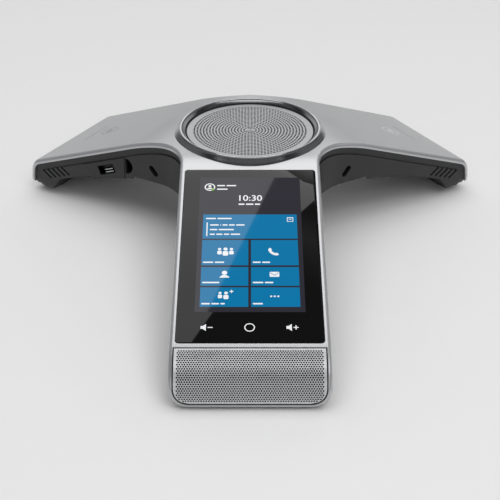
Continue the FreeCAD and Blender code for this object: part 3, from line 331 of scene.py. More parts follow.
# USB socket shell: stamped steel given a near-black colour, far darker than the nickel of its spring
# fingers.
NEAR_BLACK_STEEL = Finish("Stamped steel, coloured near black", "#2B2B2D", "#1E1E20", metallic=1.0, rough=0.4, grain=0.5,
                     depth=0.006, pattern=Pattern.BRUSHED)
NICKEL = Finish("Nickel-plated stamped steel", "#C2C3C4", "#A5A6A8", metallic=1.0, rough=0.28, grain=0.5,
                depth=0.006, pattern=Pattern.BRUSHED)
ZINC = Finish("Zinc-plated steel screw", "#9B9DA0", "#7E8084", metallic=1.0, rough=0.35, grain=0.4,
              depth=0.01)
GOLD = Finish("Gold-flashed contact", "#D9B25F", "#C39A49", metallic=1.0, rough=0.22, grain=0.4,
              depth=0.004)
SOLDER_MASK = Finish("Green solder mask", "#1B4A2C", "#143A22", rough=0.35, grain=1.6, depth=0.03)
FERRITE = Finish("Ground ferrite", "#3A3A3C", "#2C2C2E", rough=0.5, grain=0.5, depth=0.01)
COPPER = Finish("Enamelled copper winding", "#B5673A", "#93502B", metallic=1.0, rough=0.3, grain=0.3,
                depth=0.03, pattern=Pattern.BRUSHED)
PAPER = Finish("Pressed cone paper", "#1D1D1E", "#131313", rough=0.85, grain=1.2, depth=0.08, strength=0.6)
FLOOR = Finish("Pale studio floor", "#F4F4F4", "#F1F1F1", rough=0.75, grain=3.0, depth=0.01, strength=0.05)

SLOT_FINISH: dict[str, Finish] = {
    "silver_paint": SILVER_LACQUER, "dark_plastic": DARK_ABS, "dark_gloss": PANEL_ABS,
    "ring_metal": TURNED_RING, "grille_sheet": PUNCHED_STEEL, "acoustic_cloth": ACOUSTIC_CLOTH,
    "cover_glass": COVER_GLASS, "display": SCREEN_OFF, "circuit_board": SOLDER_MASK, "steel": NICKEL,
    "ferrite": FERRITE, "copper": COPPER, "cone_paper": PAPER, "rubber": RUBBER, "mic_metal": NICKEL,
    "light_guide": LIGHT_GUIDE,
}


class Paints:
    """Builds each finish once and dresses pieces with it."""

    def __init__(self) -> None:
        """Start with no material made."""
        self.made: dict[str, bpy.types.Material] = {}

    def material(self, finish: Finish) -> bpy.types.Material:
        """The material of a finish."""
        if finish.name not in self.made:
            self.made[finish.name] = finish.build()
        return self.made[finish.name]

    def dress(self, obj: Obj, finish: Finish) -> None:
        """Give a piece one finish all over."""
        obj.data.materials.clear()
        obj.data.materials.append(self.material(finish))


PAINTS = Paints()


def deliver(obj: Obj, name: str, finish: Finish, stands_for: tuple[str, ...] = (),
            body: str = BODY, angle: float | None = 30.0) -> Obj:
    """Name, dress and hand over one finished piece.

    Args:
        obj: the modelled piece, in the row frame.
        name: its name.
        finish: its surface.
        stands_for: CAD nodes that it replaces.
        body: the body it moves with.
        angle: smooth shading below this angle, or None for flat faces.
    """
    if angle is not None:
        smooth(obj, angle)
    obj.name = name
    obj.data.name = name
    PAINTS.dress(obj, finish)
    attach(obj, body)
    if stands_for:
        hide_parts(*stands_for)
    LOG.info("%s: %d faces", name, len(obj.data.polygons))
    return obj


def from_node(node: str, degrees: float = 30.0) -> Obj:
    """Merged, smooth-shaded copy of a CAD node's mesh."""
    source = frame["nodes"][node]
    obj = bpy.data.objects.new(node + "_finished", source.data.copy())
    bpy.context.scene.collection.objects.link(obj)
    edit(obj)
    take_all()
    bpy.ops.mesh.remove_doubles(threshold=SAME)
    leave_edit()
    bpy.ops.mesh.customdata_custom_splitnormals_clear()
    smooth(obj, degrees)
    apply_modifier(obj, "WEIGHTED_NORMAL", keep_sharp=True, weight=100)
    return obj


# ---- places
def middle_of(node: str) -> Vector:
    """Middle of a CAD node's box."""
    low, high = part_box(node)
    return (low + high) / 2


HUB_Y = middle_of("speaker_trim_ring").y


@dataclass(frozen=True)
class Arm:
    """One arm of the Y: direction from above, where its top starts to fall and how steeply.

    Turn and slope are in degrees, knee and cap in metres.
    """
    turn: float
    knee: float
    slope: float
    cap: float = 0.0676

    def matrix(self, reach: float, page: int = 0) -> Matrix:
        """Frame of a page lying on the arm's top: X to the right, Y up the page, Z out of it.

        Args:
            reach: distance from the hub's axis, metres.
            page: 0 for a page whose foot is at the arm's end, or 1 or -1 for one read from the
                front with its X down or up the arm.
        """
        angle, fall = math.radians(self.turn), math.radians(self.slope)
        outward = Vector((math.cos(angle), math.sin(angle), 0.0))
        down = outward * math.cos(fall) - Vector((0, 0, math.sin(fall)))
        normal = outward * math.sin(fall) + Vector((0, 0, math.cos(fall)))
        side = normal.cross(down)
        top = self.cap - (reach - self.knee) * math.tan(fall)
        spot = Vector((0, HUB_Y, top)) + outward * reach
        axes = (down * page, side * page, normal) if page else (side, -down, normal)
        return Matrix.Translation(spot) @ Matrix(axes).transposed().to_4x4()


FRONT = Arm(-90.0, 0.0447, 15.3)
RIGHT = Arm(30.0, 0.0456, 21.3)
LEFT = Arm(150.0, 0.0456, 21.3)
# The cover glass's upper edge from the hub's axis, its length and its width, millimetres.
GLASS_REACH, GLASS_LENGTH, GLASS_WIDTH = 53.85, 139.85, 81.9


# ---- basic shapes
def plate(centre: Triple, size: Triple, corner: float = 0.0,
          edge: float = 0.0, steps: int = 4) -> Obj:
    """Flat plate with rounded corners and softened upper edges, in millimetres.

    Args:
        centre: middle of the plate.
        size: along X, Y and Z.
        corner: radius of the four upright corners.
        edge: width of the bevel round the top.
        steps: segments of the corners.
    """
    deselect()
    bpy.ops.mesh.primitive_cube_add(size=1.0, location=[c * MM for c in centre],
                                    scale=[s * MM for s in size])
    obj = bpy.context.object
    bpy.ops.object.transform_apply(location=True, rotation=True, scale=True)
    enter_edit()
    if corner > 0:
        pick(obj, "EDGE", lambda a, b: abs(a.z - b.z) > size[2] * MM / 2)
        bpy.ops.mesh.bevel(offset=corner * MM, segments=steps, affect="EDGES")
    if edge > 0:
        top = (centre[2] + size[2] / 2) * MM - 1e-7
        pick(obj, "EDGE", lambda a, b: a.z > top and b.z > top)
        bpy.ops.mesh.bevel(offset=edge * MM, segments=2, affect="EDGES")
    leave_edit()
    return obj


def outline_plate(points: list[Pair], low: float, high: float) -> Obj:
    """Plate whose outline is any ring of points, in millimetres."""
    deselect()
    bpy.ops.mesh.primitive_circle_add(vertices=len(points), radius=1.0, fill_type="NGON")
    obj = bpy.context.object
    for vertex, (x, y) in zip(obj.data.vertices, points):
        vertex.co = Vector((x, y, low)) * MM
    enter_edit()
    take_all()
    bpy.ops.mesh.extrude_region_move(TRANSFORM_OT_translate={"value": (0, 0, (high - low) * MM)})
    take_all()
    face_out()
    leave_edit()
    return obj


def lathe(outline: list[Pair], steps: int,
          centre: Vector | None = None) -> Obj:
    """Turn a closed outline of (radius, height) in millimetres about an upright axis.

    Args:
        outline: corner points, from the first round to the last.
        steps: segments round the axis.
        centre: foot of the axis; the hub's axis where it is left out.
    """
    spot = centre or Vector((0, HUB_Y, 0))
    radius, height = outline[0]
    deselect()
    bpy.ops.mesh.primitive_circle_add(vertices=steps, radius=radius * MM, fill_type="NOTHING",
                                      location=(spot.x, spot.y, spot.z + height * MM))
    obj = bpy.context.object
    bpy.ops.object.transform_apply(location=True, rotation=True, scale=True)
    enter_edit()
    take_all()
    for new_radius, new_height in outline[1:] + outline[:1]:
        rise = (0, 0, (new_height - height) * MM)
        bpy.ops.mesh.extrude_edges_move(TRANSFORM_OT_translate={"value": rise})
        ratio = new_radius / radius
        bpy.ops.transform.resize(value=(ratio, ratio, 1.0),
                                 center_override=(spot.x, spot.y, spot.z + new_height * MM))
        radius, height = new_radius, new_height
    leave_edit()
    clean(obj)
    return obj


def arc(centre: Pair, radius: float, start: float, end: float,
        steps: int) -> list[Pair]:
    """Points along an arc, angles in degrees."""
    turns = [math.radians(start + (end - start) * i / steps) for i in range(steps + 1)]
    return [(centre[0] + radius * math.cos(t), centre[1] + radius * math.sin(t)) for t in turns]


def hollow_ring(centre: Pair, inner: float, outer: float, low: float,
                high: float, steps: int = 40) -> Obj:
    """Flat ring in the page's plane, in millimetres."""
    spot = Vector((centre[0], centre[1], 0)) * MM
    return lathe([(inner, low), (outer, low), (outer, high), (inner, high)], steps, spot)


def punch(obj: Obj, is_cell, inset: float, corner: float = 0.0, keep=None) -> None:
    """Open a hole in each cell of a sheet.

    Args:
        obj: sheet in edit mode.
        is_cell: test for the faces to open.
        inset: metal left round each hole, millimetres.
        corner: bevel of the holes' corners, millimetres, 0 for none.
        keep: test for the points to leave unbevelled.
    """
    count = pick(obj, "FACE", is_cell)
    bpy.ops.mesh.inset(thickness=inset * MM, use_individual=True)
    bpy.ops.mesh.delete(type="FACE")
    if corner > 0:
        bpy.ops.mesh.select_mode(type="VERT")
        take_none()
        bpy.ops.mesh.select_non_manifold(extend=False, use_wire=False, use_boundary=True,
                                         use_multi_face=False, use_non_contiguous=False, use_verts=False)
        leave_edit()
        for vertex in obj.data.vertices:
            if vertex.select and keep(vertex.co):
                vertex.select = False
        enter_edit()
        bpy.ops.mesh.bevel(offset=corner * MM, segments=1, affect="VERTICES")
    take_all()
    face_out()
    leave_edit()
    LOG.info("%d holes", count)


# ---- sub-assemblies
@dataclass
class Carried:
    """Pieces whose CAD shape is already the real shape and only needs its surface."""
    pieces: tuple[tuple[str, str, str, Finish], ...] = (
        ("top_shell", "moulding", "silver_paint", SILVER_LACQUER),
        ("lower_housing", "moulding", "dark_plastic", DARK_ABS),
        ("port_panel", "moulding", "dark_gloss", PANEL_ABS),
        ("side_recess_cup", "moulding", "dark_plastic", BLACK_NYLON),
        ("expansion_jack_left", "moulding", "dark_plastic", BLACK_NYLON),
        ("expansion_jack_right", "moulding", "dark_plastic", BLACK_NYLON),
        ("network_socket", "moulding", "dark_plastic", BLACK_NYLON),
        ("nose_carrier", "moulding", "dark_plastic", BLACK_NYLON),
        ("nose_cloth", "moulding", "acoustic_cloth", ACOUSTIC_CLOTH),
        ("usb_socket", "stamped", "steel", NEAR_BLACK_STEEL),
        ("usb_tongue", "moulded", "dark_plastic", BLACK_NYLON),
        ("housing_screws", "set", "steel", ZINC),
    )
    large: tuple[str, ...] = ("top_shell", "lower_housing")

    def build(self) -> None:
        """Smooth the shells and dress every other node by its material slot."""
        for node, ending, slot, finish in self.pieces:
            shape = from_node(node, 25.0 if node in self.large else 30.0)
            name = "housing_screw_set" if ending == "set" else f"{node}_{ending}"
            deliver(shape, name, finish, (node,), angle=None)
        slots = {item["node"]: item["material_slot"] for item in frame["record"]["subparts"]}
        for node, obj in frame["nodes"].items():
            PAINTS.dress(obj, SLOT_FINISH[slots[node]])


@dataclass
class Window:
    """Rounded corners of the shell's window round the cover glass, in millimetres."""
    gap: float = 0.2
    corner: float = 2.2
    deep: float = 1.2

    def build(self) -> None:
        """Fill each square corner of the window up to its round."""
        parts = []
        middle = GLASS_LENGTH / 2
        x, y = GLASS_WIDTH / 2 + self.gap, middle + self.gap
        round_corner = [(x, y)] + arc((x - self.corner, y - self.corner), self.corner, 0, 90, 8)
        for across in (-1, 1):
            for along in (-1, 1):
                ring = [(px * across, py * along - middle) for px, py in round_corner]
                parts.append(outline_plate(ring, -self.deep, 0.0))
        obj = place(join(parts), FRONT.matrix(GLASS_REACH * MM))
        deliver(obj, "top_shell_window_corners", SILVER_LACQUER, angle=None)


@dataclass
class Loudspeaker:
    """Turned ring, the dark collar at its foot and the punched disc over the driver, in millimetres."""
    ring_low: float = 60.6
    base_radius: float = 50.3
    base_z: float = 66.3
    rim_radius: float = 46.5
    rim_z: float = 70.75
    disc_radius: float = 42.3
    disc_z: float = 67.6
    sheet: float = 0.8
    skin: float = 0.35
    ring_pitch: float = 2.08
    ring_count: int = 18
    holes_per_ring: int = 6
    web: float = 0.22
    hole_inset: float = 0.17
    hole_corner: float = 0.42
    wall_foot: float = 1.3
    # Height of the painted-shade collar above the disc.
    shade_collar_rise: float = 0.85
    ring_wall: float = 1.8
    crest: float = 0.65
    ledge: float = 2.2
    ledge_deep: float = 1.6

    def trim_ring(self) -> None:
        """Polished ring: sloping outside, rolled rim with a painted highlight on its crown, concave inside,
        sharp foot.
        """
        flange = self.base_radius - self.ring_wall
        crown, crest_middle = self.rim_z - self.crest, self.rim_radius - 0.1
        outline = [(flange, self.ring_low), (self.base_radius, self.ring_low),
                   (self.base_radius, self.base_z - 0.15), (self.base_radius - 0.12, self.base_z),
                   (self.rim_radius + 2.6, self.base_z + 1.6), (self.rim_radius + 1.05, crown - 0.75)]
        outline += arc((crest_middle, crown), 0.62, 8.0, 172.0, 8)
        foot, ledge = self.disc_radius + self.wall_foot, self.disc_radius - self.ledge
        low = self.disc_z - self.sheet
        outline += [(self.rim_radius - 1.35, self.rim_z - 1.2), (foot, self.disc_z + self.shade_collar_rise),
                    (foot, low), (ledge, low), (ledge, low - self.ledge_deep),
                    (flange, self.base_z - self.ledge_deep)]
        deliver(lathe(outline, 192), "trim_ring_turned", TURNED_RING, ("speaker_trim_ring",),
                angle=38.0)
        # Band over the crown in the bright copy of the metal: a painted highlight.
        outer_edge = arc((crest_middle, crown), self.crest, 35.0, 145.0, 8)
        inner_edge = arc((crest_middle, crown), self.crest - 0.2, 145.0, 35.0, 8)
        edge = lathe(outer_edge + inner_edge, 192)
        deliver(edge, "trim_ring_painted_highlight", CROWN_HIGHLIGHT_PAINT, angle=38.0)

    def shade_collar(self) -> None:
        """Black ring between the disc's edge and the foot of the ring's wall: painted shade in the shadowed
        gap there, in the rubber finish.
        """
        inner, outer = self.disc_radius + 0.1, self.disc_radius + self.wall_foot - 0.02
        low, high = self.disc_z - self.sheet, self.disc_z + self.shade_collar_rise
        # A dark collar in the rubber finish: painted shade where the gap round the disc lies in shadow.
        shade_collar = lathe([(inner, low), (outer, low), (outer, high), (outer - 0.25, high - 0.1),
                      (inner, self.disc_z - 0.15)], 128)
        deliver(shade_collar, "speaker_painted_shade_ring", RUBBER)

    def punched_disc(self) -> None:
        """Disc with concentric rings of holes, punched through its real thickness."""
        middle = (0.0, HUB_Y, self.disc_z * MM)
        half = (self.ring_pitch / 2 - self.web) * MM
        radii = [(i * self.ring_pitch * MM - half, i * self.ring_pitch * MM + half)
                 for i in range(1, self.ring_count + 1)]
        deselect()
        bpy.ops.mesh.primitive_circle_add(vertices=self.holes_per_ring, radius=radii[0][0],
                                          fill_type="NGON", location=middle)
        disc = bpy.context.object
        bpy.ops.object.transform_apply(location=True)
        enter_edit()
        for i, (inner, outer) in enumerate(radii, start=1):
            take_none()
            if i == 1:
                take_all()
            else:
                bpy.ops.mesh.primitive_circle_add(vertices=self.holes_per_ring * i, radius=inner,
                                                  fill_type="NOTHING", location=middle)
            bpy.ops.mesh.select_mode(type="EDGE")
            bpy.ops.mesh.extrude_edges_move(TRANSFORM_OT_translate={"value": (0, 0, 0)})
            ratio = outer / inner
            bpy.ops.transform.resize(value=(ratio, ratio, 1.0), center_override=middle)
        take_none()
        bpy.ops.mesh.primitive_circle_add(vertices=192, radius=self.disc_radius * MM,
                                          fill_type="NOTHING", location=middle)

        def reach(point: Vector) -> float:
            return math.hypot(point.x, point.y - HUB_Y)

        near = 2 * SAME
        outers = [outer for _inner, outer in radii]
        inners = [inner for inner, _outer in radii[1:]] + [self.disc_radius * MM]
        for low, high in zip(outers, inners):
            pick(disc, "EDGE", lambda a, b: abs(reach(a) - reach(b)) < near and all(
                min(abs(reach(end) - low), abs(reach(end) - high)) < near for end in (a, b)))
            bpy.ops.mesh.bridge_edge_loops()
        take_all()
        bpy.ops.mesh.remove_doubles(threshold=SAME)

        def is_cell(face) -> bool:
            spans = [reach(disc.data.vertices[v].co) for v in face.vertices]
            if max(spans) < radii[0][0] + 2 * near:
                return True
            return len(spans) == 4 and any(
                max(abs(min(spans) - low), abs(max(spans) - high)) < 2 * near for low, high in radii)

        rim = (self.disc_radius - 0.3) * MM
        punch(disc, is_cell, self.hole_inset, self.hole_corner, keep=lambda point: reach(point) > rim)
        apply_modifier(disc, "SOLIDIFY", thickness=self.skin * MM, offset=-1.0)
        deliver(disc, "speaker_grille_punched", PUNCHED_STEEL, ("speaker_grille",),
                angle=25.0)

    def build(self) -> None:
        """Make the ring, the painted-shade collar at its foot and the disc."""
        self.trim_ring()
        self.shade_collar()
        self.punched_disc()


@dataclass
class Nose:
    """Punched sheet curled round the end of the front arm, in millimetres."""
    arcs: tuple[Pair, ...] = ((66.0, 24.0), (26.5, 45.5), (20.0, 92.0))
    start_reach: float = 188.744
    start_z: float = 28.19
    start_slope: float = 15.3
    sink: float = 0.25
    half_width: float = 41.3
    corner: float = 8.5
    pitch: float = 1.38
    edge: float = 1.0
    sheet: float = 0.3
    top_z: float = 27.0
    low_z: float = 4.8
    hole_inset: float = 0.2
    rim: float = 1.15
    arc_steps: int = 60

    def profile(self) -> list[Pair]:
        """Points of the sheet's outer face as (reach, height), finely spaced."""
        points = []
        reach, height, slope = self.start_reach, self.start_z, self.start_slope
        for radius, end in self.arcs:
            a, b = math.radians(slope), math.radians(end)
            centre = (reach - radius * math.sin(a), height - radius * math.cos(a))
            inner = radius - self.sink
            for i in range(self.arc_steps + 1):
                t = a + (b - a) * i / self.arc_steps
                points.append((centre[0] + inner * math.sin(t), centre[1] + inner * math.cos(t)))
            reach, height, slope = centre[0] + radius * math.sin(b), centre[1] + radius * math.cos(b), end
        return [p for p in points if self.low_z <= p[1] <= self.top_z]

    def along(self, points: list[Pair], distance: float) -> Pair:
        """Point at a distance along the profile."""
        for (r0, z0), (r1, z1) in zip(points, points[1:]):
            step = math.hypot(r1 - r0, z1 - z0)
            if distance <= step or (r1, z1) == points[-1]:
                k = distance / step if step > 0 else 0.0
                return r0 + (r1 - r0) * k, z0 + (z1 - z0) * k
            distance -= step
        return points[-1]

    def width_at(self, to_end: float) -> float:
        """Half width of the sheet at a distance from its lower edge."""
        if to_end >= self.corner:
            return self.half_width
        fall = self.corner - to_end
        return self.half_width - self.corner + math.sqrt(max(self.corner ** 2 - fall ** 2, 0.0))

    def build(self) -> None:
        """Honeycomb of holes on a grid that follows the nose's curl."""
        points = self.profile()
        length = sum(math.hypot(b[0] - a[0], b[1] - a[1]) for a, b in zip(points, points[1:]))
        row = self.pitch * math.sqrt(3) / 2
        rows = int((length - 2 * self.edge) / row)
        half_cells = int((self.half_width - self.edge) / self.pitch * 2)
        zigzag = self.pitch / math.sqrt(3) / 4
        deselect()
        columns = 2 * half_cells + 2
        bpy.ops.mesh.primitive_grid_add(x_subdivisions=columns, y_subdivisions=rows + 2, size=2.0)
        sheet = bpy.context.object
        cells = columns // 2
        margin = (length - rows * row) / 2

        def index(point: Vector) -> tuple[int, int]:
            return round((point.x + 1) / 2 * columns) - cells, round((1 - point.y) / 2 * (rows + 2))

        grid = [index(v.co) for v in sheet.data.vertices]
        for vertex, (i, j) in zip(sheet.data.vertices, grid):
            distance = min(max(margin + (j - 1) * row, 0.0), length)
            if j in (0, rows + 2):
                distance = length * (j > 0)
            limit = self.width_at(length - distance)
            across = i * self.pitch / 2
            if abs(i) == cells or abs(across) >= limit:
                across = math.copysign(limit, i)
            elif 0 < j < rows + 2:
                distance += zigzag * (-1 if (i + j) % 2 else 1)
            reach, height = self.along(points, distance)
            vertex.co = Vector((across, HUB_Y / MM - reach, height)) * MM
        edit(sheet, "EDGE")
        take_none()
        leave_edit()
        for edge in sheet.data.edges:
            (i0, j0), (i1, j1) = grid[edge.vertices[0]], grid[edge.vertices[1]]
            inner_row = 0 < min(j0, j1) < rows + 1
            edge.select = i0 == i1 and inner_row and (i0 + min(j0, j1)) % 2 == 1 and abs(i0) < cells
        enter_edit()
        bpy.ops.mesh.dissolve_edges(use_verts=False)
        take_all()
        bpy.ops.mesh.remove_doubles(threshold=20 * SAME)
        bpy.ops.mesh.dissolve_degenerate(threshold=10 * SAME)
        face_out()

        def is_cell(face) -> bool:
            if len(face.vertices) != 6:
                return False
            spots = [sheet.data.vertices[v].co / MM for v in face.vertices]
            width = max(s.x for s in spots) - min(s.x for s in spots)
            middle = face.center / MM
            to_end = self.end_distance(points, length, middle)
            return (abs(width - self.pitch) < 0.05
                    and abs(middle.x) < self.width_at(to_end) - self.rim and to_end > self.rim - 0.05)

        punch(sheet, is_cell, self.hole_inset)
        if sum(f.normal.y for f in sheet.data.polygons) > 0:
            edit(sheet)
            take_all()
            bpy.ops.mesh.flip_normals()
            leave_edit()
        apply_modifier(sheet, "SOLIDIFY", thickness=self.sheet * MM, offset=-1.0)
        deliver(sheet, "nose_grille_punched", PUNCHED_STEEL, ("nose_grille",), angle=35.0)

    def end_distance(self, points: list[Pair], length: float, spot: Vector) -> float:
        """Distance along the profile from a place on the sheet to its lower edge."""
        target = (HUB_Y / MM - spot.y, spot.z)
        best, travelled, answer = 1e9, 0.0, 0.0
        for a, b in zip(points, points[1:]):
            gap = math.hypot(a[0] - target[0], a[1] - target[1])
            if gap < best:
                best, answer = gap, travelled
            travelled += math.hypot(b[0] - a[0], b[1] - a[1])
        return length - answer


# Screen layout, millimetres: x across the page, then the distance down from the glass's top.
TILE_ROWS = ((61.9, 82.3), (83.7, 98.2), (99.4, 114.0))
WORD_LINES = ((-20.5, 14.8, (5.0, 6.0)), (-20.5, 18.0, (6.6,)), (-26.6, 43.8, (6.0, 8.6)),
              (-24.0, 49.3, (5.2, 0.5, 3.0, 3.4, 5.0)), (-24.0, 53.2, (4.4, 9.0)),
              (-24.0, 57.1, (3.0, 3.6, 3.2, 5.6)), (-27.4, 79.9, (6.0, 5.4)), (1.6, 79.9, (4.6, 4.6)),
              (-27.4, 95.7, (9.8,)), (1.6, 95.7, (6.0, 4.8)), (-27.4, 111.7, (4.8, 4.2, 2.4)),
              (1.6, 111.7, (5.6,)))
DATE_LINE = (-7.0, 31.4, (3.6, 4.6, 3.2), 1.2)
# Left, right, top and low side of each bar: the meeting's bar, the plus sign and the open diary.
BARS = ((-26.1, -25.4, 47.2, 58.6), (-11.6, -9.4, 102.2, 102.8), (-10.8, -10.2, 101.4, 103.6),
        (22.3, 26.1, 42.8, 43.4), (22.3, 26.1, 46.1, 46.5), (22.3, 22.7, 42.8, 46.5),
        (25.7, 26.1, 42.8, 46.5), (23.3, 25.1, 44.2, 44.7))
PEOPLE = ((-17.9, 71.2, 0.92), (-14.4, 71.6, 1.15), (-10.9, 71.2, 0.92), (-17.0, 105.4, 0.85),
          (-13.6, 105.7, 1.0))
MORE_DOTS = ((12.0, 106.2), (14.0, 106.2), (16.0, 106.2))
CALL_SIGN, CONTACT_SIGN = (13.8, 71.5), (-14.7, 88.2)
MESSAGE_SIGN, ACCOUNT_SIGN = (14.1, 89.4), (-24.9, 15.2)


@dataclass
class Display:
    """Cover glass with the lit screen and the touch keys below it, in millimetres.

    The page's X runs across the arm, its Y up the slope from the glass's upper edge.
    """
    thick: float = 1.5
    proud: float = 0.25
    layer: float = 0.02
    lit_top: float = 7.4
    lit_length: float = 110.4
    lit_width: float = 62.1
    tile_half: float = 28.3
    key_row: float = 128.9
    key_lift: float = 0.03
    disc_steps: int = 28

    def put(self, objs: list[Obj], name: str, finish: Finish,
            stands_for: tuple[str, ...] = (), angle: float | None = None) -> None:
        """Join page pieces, move them onto the arm and deliver them."""
        obj = place(join(objs), FRONT.matrix(GLASS_REACH * MM))
        deliver(obj, name, finish, stands_for, angle=angle)

    def glass(self) -> None:
        """Cover glass with small corner radii and a polished chamfer."""
        pane = plate((0, -GLASS_LENGTH / 2, self.proud - self.thick / 2),
                     (GLASS_WIDTH, GLASS_LENGTH, self.thick), corner=2.0, edge=0.25, steps=8)
        self.put([pane], "cover_glass_pane", COVER_GLASS, ("touch_glass",), angle=30.0)

    def field(self, left: float, right: float, top: float, low: float, layer: int = 4,
              corner: float = 0.0) -> Obj:
        """Lit rectangle between two sides and two distances down the page."""
        spot = ((left + right) / 2, -(top + low) / 2, self.proud + self.layer * layer)
        return plate(spot, (right - left, low - top, self.layer), corner)

    def shape(self, ring: list[Pair], layer: int = 4) -> Obj:
        """Lit shape with any outline, given as (x, distance down the page)."""
        low = self.proud + self.layer * (layer - 0.5)
        return outline_plate([(x, -t) for x, t in ring], low, low + self.layer)

    def disc(self, x: float, t: float, radius: float, layer: int = 4) -> Obj:
        """Lit round dot."""
        last = 360 - 360 / self.disc_steps
        ring = [(px, 2 * t - pt) for px, pt in arc((x, t), radius, 0, last, self.disc_steps - 1)]
        return self.shape(ring, layer)

    def person(self, x: float, t: float, scale: float) -> list[Obj]:
        """Sign for a person: round head over rounded shoulders."""
        low, top = t + 2.3 * scale, t - 0.6 * scale
        radius, inset = 0.9 * scale, 0.55 * scale
        turns = ((inset, 0, 90, top + radius), (-inset, 90, 180, top + radius),
                 (-inset, 180, 250, low - radius * 0.6), (inset, 290, 360, low - radius * 0.6))
        ring = [(x + px, level - py) for shift, start, end, level in turns
                for px, py in arc((shift, 0), radius, start, end, 5)]
        return [self.disc(x, t - 2.0 * scale, 1.05 * scale), self.shape(ring)]

    def handset(self, x: float, t: float) -> Obj:
        """Sign for a call: curved grip with a thick pad at each end."""
        centre = (x + 2.4, t - 2.6)
        ear = [(x - 2.55, t - 2.9), (x - 1.7, t - 3.1), (x - 0.85, t - 1.9), (x - 1.25, t - 1.35)]
        mouth = [(x + 1.3, t + 1.1), (x + 2.0, t + 0.75), (x + 3.1, t + 1.9), (x + 2.75, t + 2.7)]
        return self.shape(arc(centre, 5.6, 98, 172, 14) + ear + arc(centre, 3.9, 158, 112, 10) + mouth)

    def words(self, x: float, t: float, widths: tuple[float, ...],
              tall: float = 1.05) -> list[Obj]:
        """Plain bars where a line of words would be."""
        bars = []
        for width in widths:
            bars.append(self.field(x, x + width, t - tall / 2, t + tall / 2, corner=tall * 0.3))
            x += width + 0.9
        return bars

    def clock(self) -> Obj:
        """Digits of the time of day."""
        deselect()
        bpy.ops.object.text_add()
        text = bpy.context.object
        text.data.body = "10:30"
        text.data.align_x = "CENTER"
        text.data.size = 7.0 * MM
        text.data.offset = 0.06 * MM
        text.data.extrude = self.layer / 2 * MM
        bpy.ops.object.convert(target="MESH")
        text = bpy.context.object
        text.data.transform(Matrix.Translation(Vector((-0.2, -28.3, self.proud + 3 * self.layer)) * MM))
        clean(text)
        return text

    def signs(self) -> list[Obj]:
        """White words, bars and signs of the screen."""
        marks = [self.field(*bar) for bar in BARS] + self.words(*DATE_LINE)
        for line in WORD_LINES:
            marks += self.words(*line)
        for spot in PEOPLE:
            marks += self.person(*spot)
        marks += [self.disc(x, t, 0.62) for x, t in MORE_DOTS]
        x, t = CONTACT_SIGN
        marks += [self.handset(*CALL_SIGN), self.disc(x, t, 1.55),
                  self.shape(arc((x, t + 4.8), 3.1, 200, 340, 14))]
        x, t = MESSAGE_SIGN
        marks += [self.field(x - 2.8, x + 2.8, t - 1.95, t + 1.95, corner=0.6), self.clock()]
        return marks

    def screen(self) -> None:
        """Dark field, blue fields and white signs."""
        top, low = self.lit_top, self.lit_top + self.lit_length
        half, wide = self.lit_width / 2, self.tile_half
        self.put([self.field(-half, half, top, low, 1)], "screen_background", SCREEN_OFF, angle=30.0)
        tiles = [self.field(-wide, wide, 40.3, 60.7, 2)]
        for row_top, row_low in TILE_ROWS:
            tiles.append(self.field(-wide, -1.0, row_top, row_low, 2))
            tiles.append(self.field(0.6, wide, row_top, row_low, 2))
        self.put(tiles, "screen_tiles", SCREEN_BLUE, angle=30.0)
        self.put(self.signs(), "screen_signs", SCREEN_WHITE)
        x, t = ACCOUNT_SIGN
        low = self.proud + 2.5 * self.layer
        badge = [hollow_ring((x, -t - 0.9), 2.55, 3.3, low, low + self.key_lift, 36), self.disc(x, t, 0.95),
                 self.shape(arc((x, t + 3.1), 1.75, 195, 345, 12))]
        self.put(badge, "screen_account_sign", SCREEN_WHITE)
        self.put([self.disc(x + 1.9, t + 3.2, 0.95, 6)], "screen_status_dot", SCREEN_GREEN)
        x, t = MESSAGE_SIGN
        fold = [(x - 2.5, t - 1.5), (x, t + 0.55), (x + 2.5, t - 1.5), (x + 2.5, t - 1.05), (x, t + 1.05),
                (x - 2.5, t - 1.05)]
        self.put([self.shape(fold, 6)], "screen_envelope_fold", SCREEN_BLUE)

    def keys(self) -> None:
        """White signs of the touch keys: volume down, home ring, volume up."""
        row = self.key_row
        signs = [hollow_ring((-0.2, -row), 2.35, 2.95, self.proud, self.proud + self.key_lift, 48)]
        for x in (-23.9, 23.5):
            cone = [(x - 3.4, row - 1.0), (x - 2.2, row - 1.0), (x - 0.4, row - 2.5), (x - 0.4, row + 2.5),
                    (x - 2.2, row + 1.0), (x - 3.4, row + 1.0)]
            signs += [self.shape(cone, 1), self.field(x + 0.5, x + 3.3, row - 0.3, row + 0.3, 1)]
        signs.append(self.field(x + 1.6, x + 2.2, row - 1.5, row + 1.5, 1))
        self.put(signs, "touch_key_signs", SCREEN_WHITE)

    def build(self) -> None:
        """Make the glass, the screen and the keys."""
        self.glass()
        self.screen()
        self.keys()


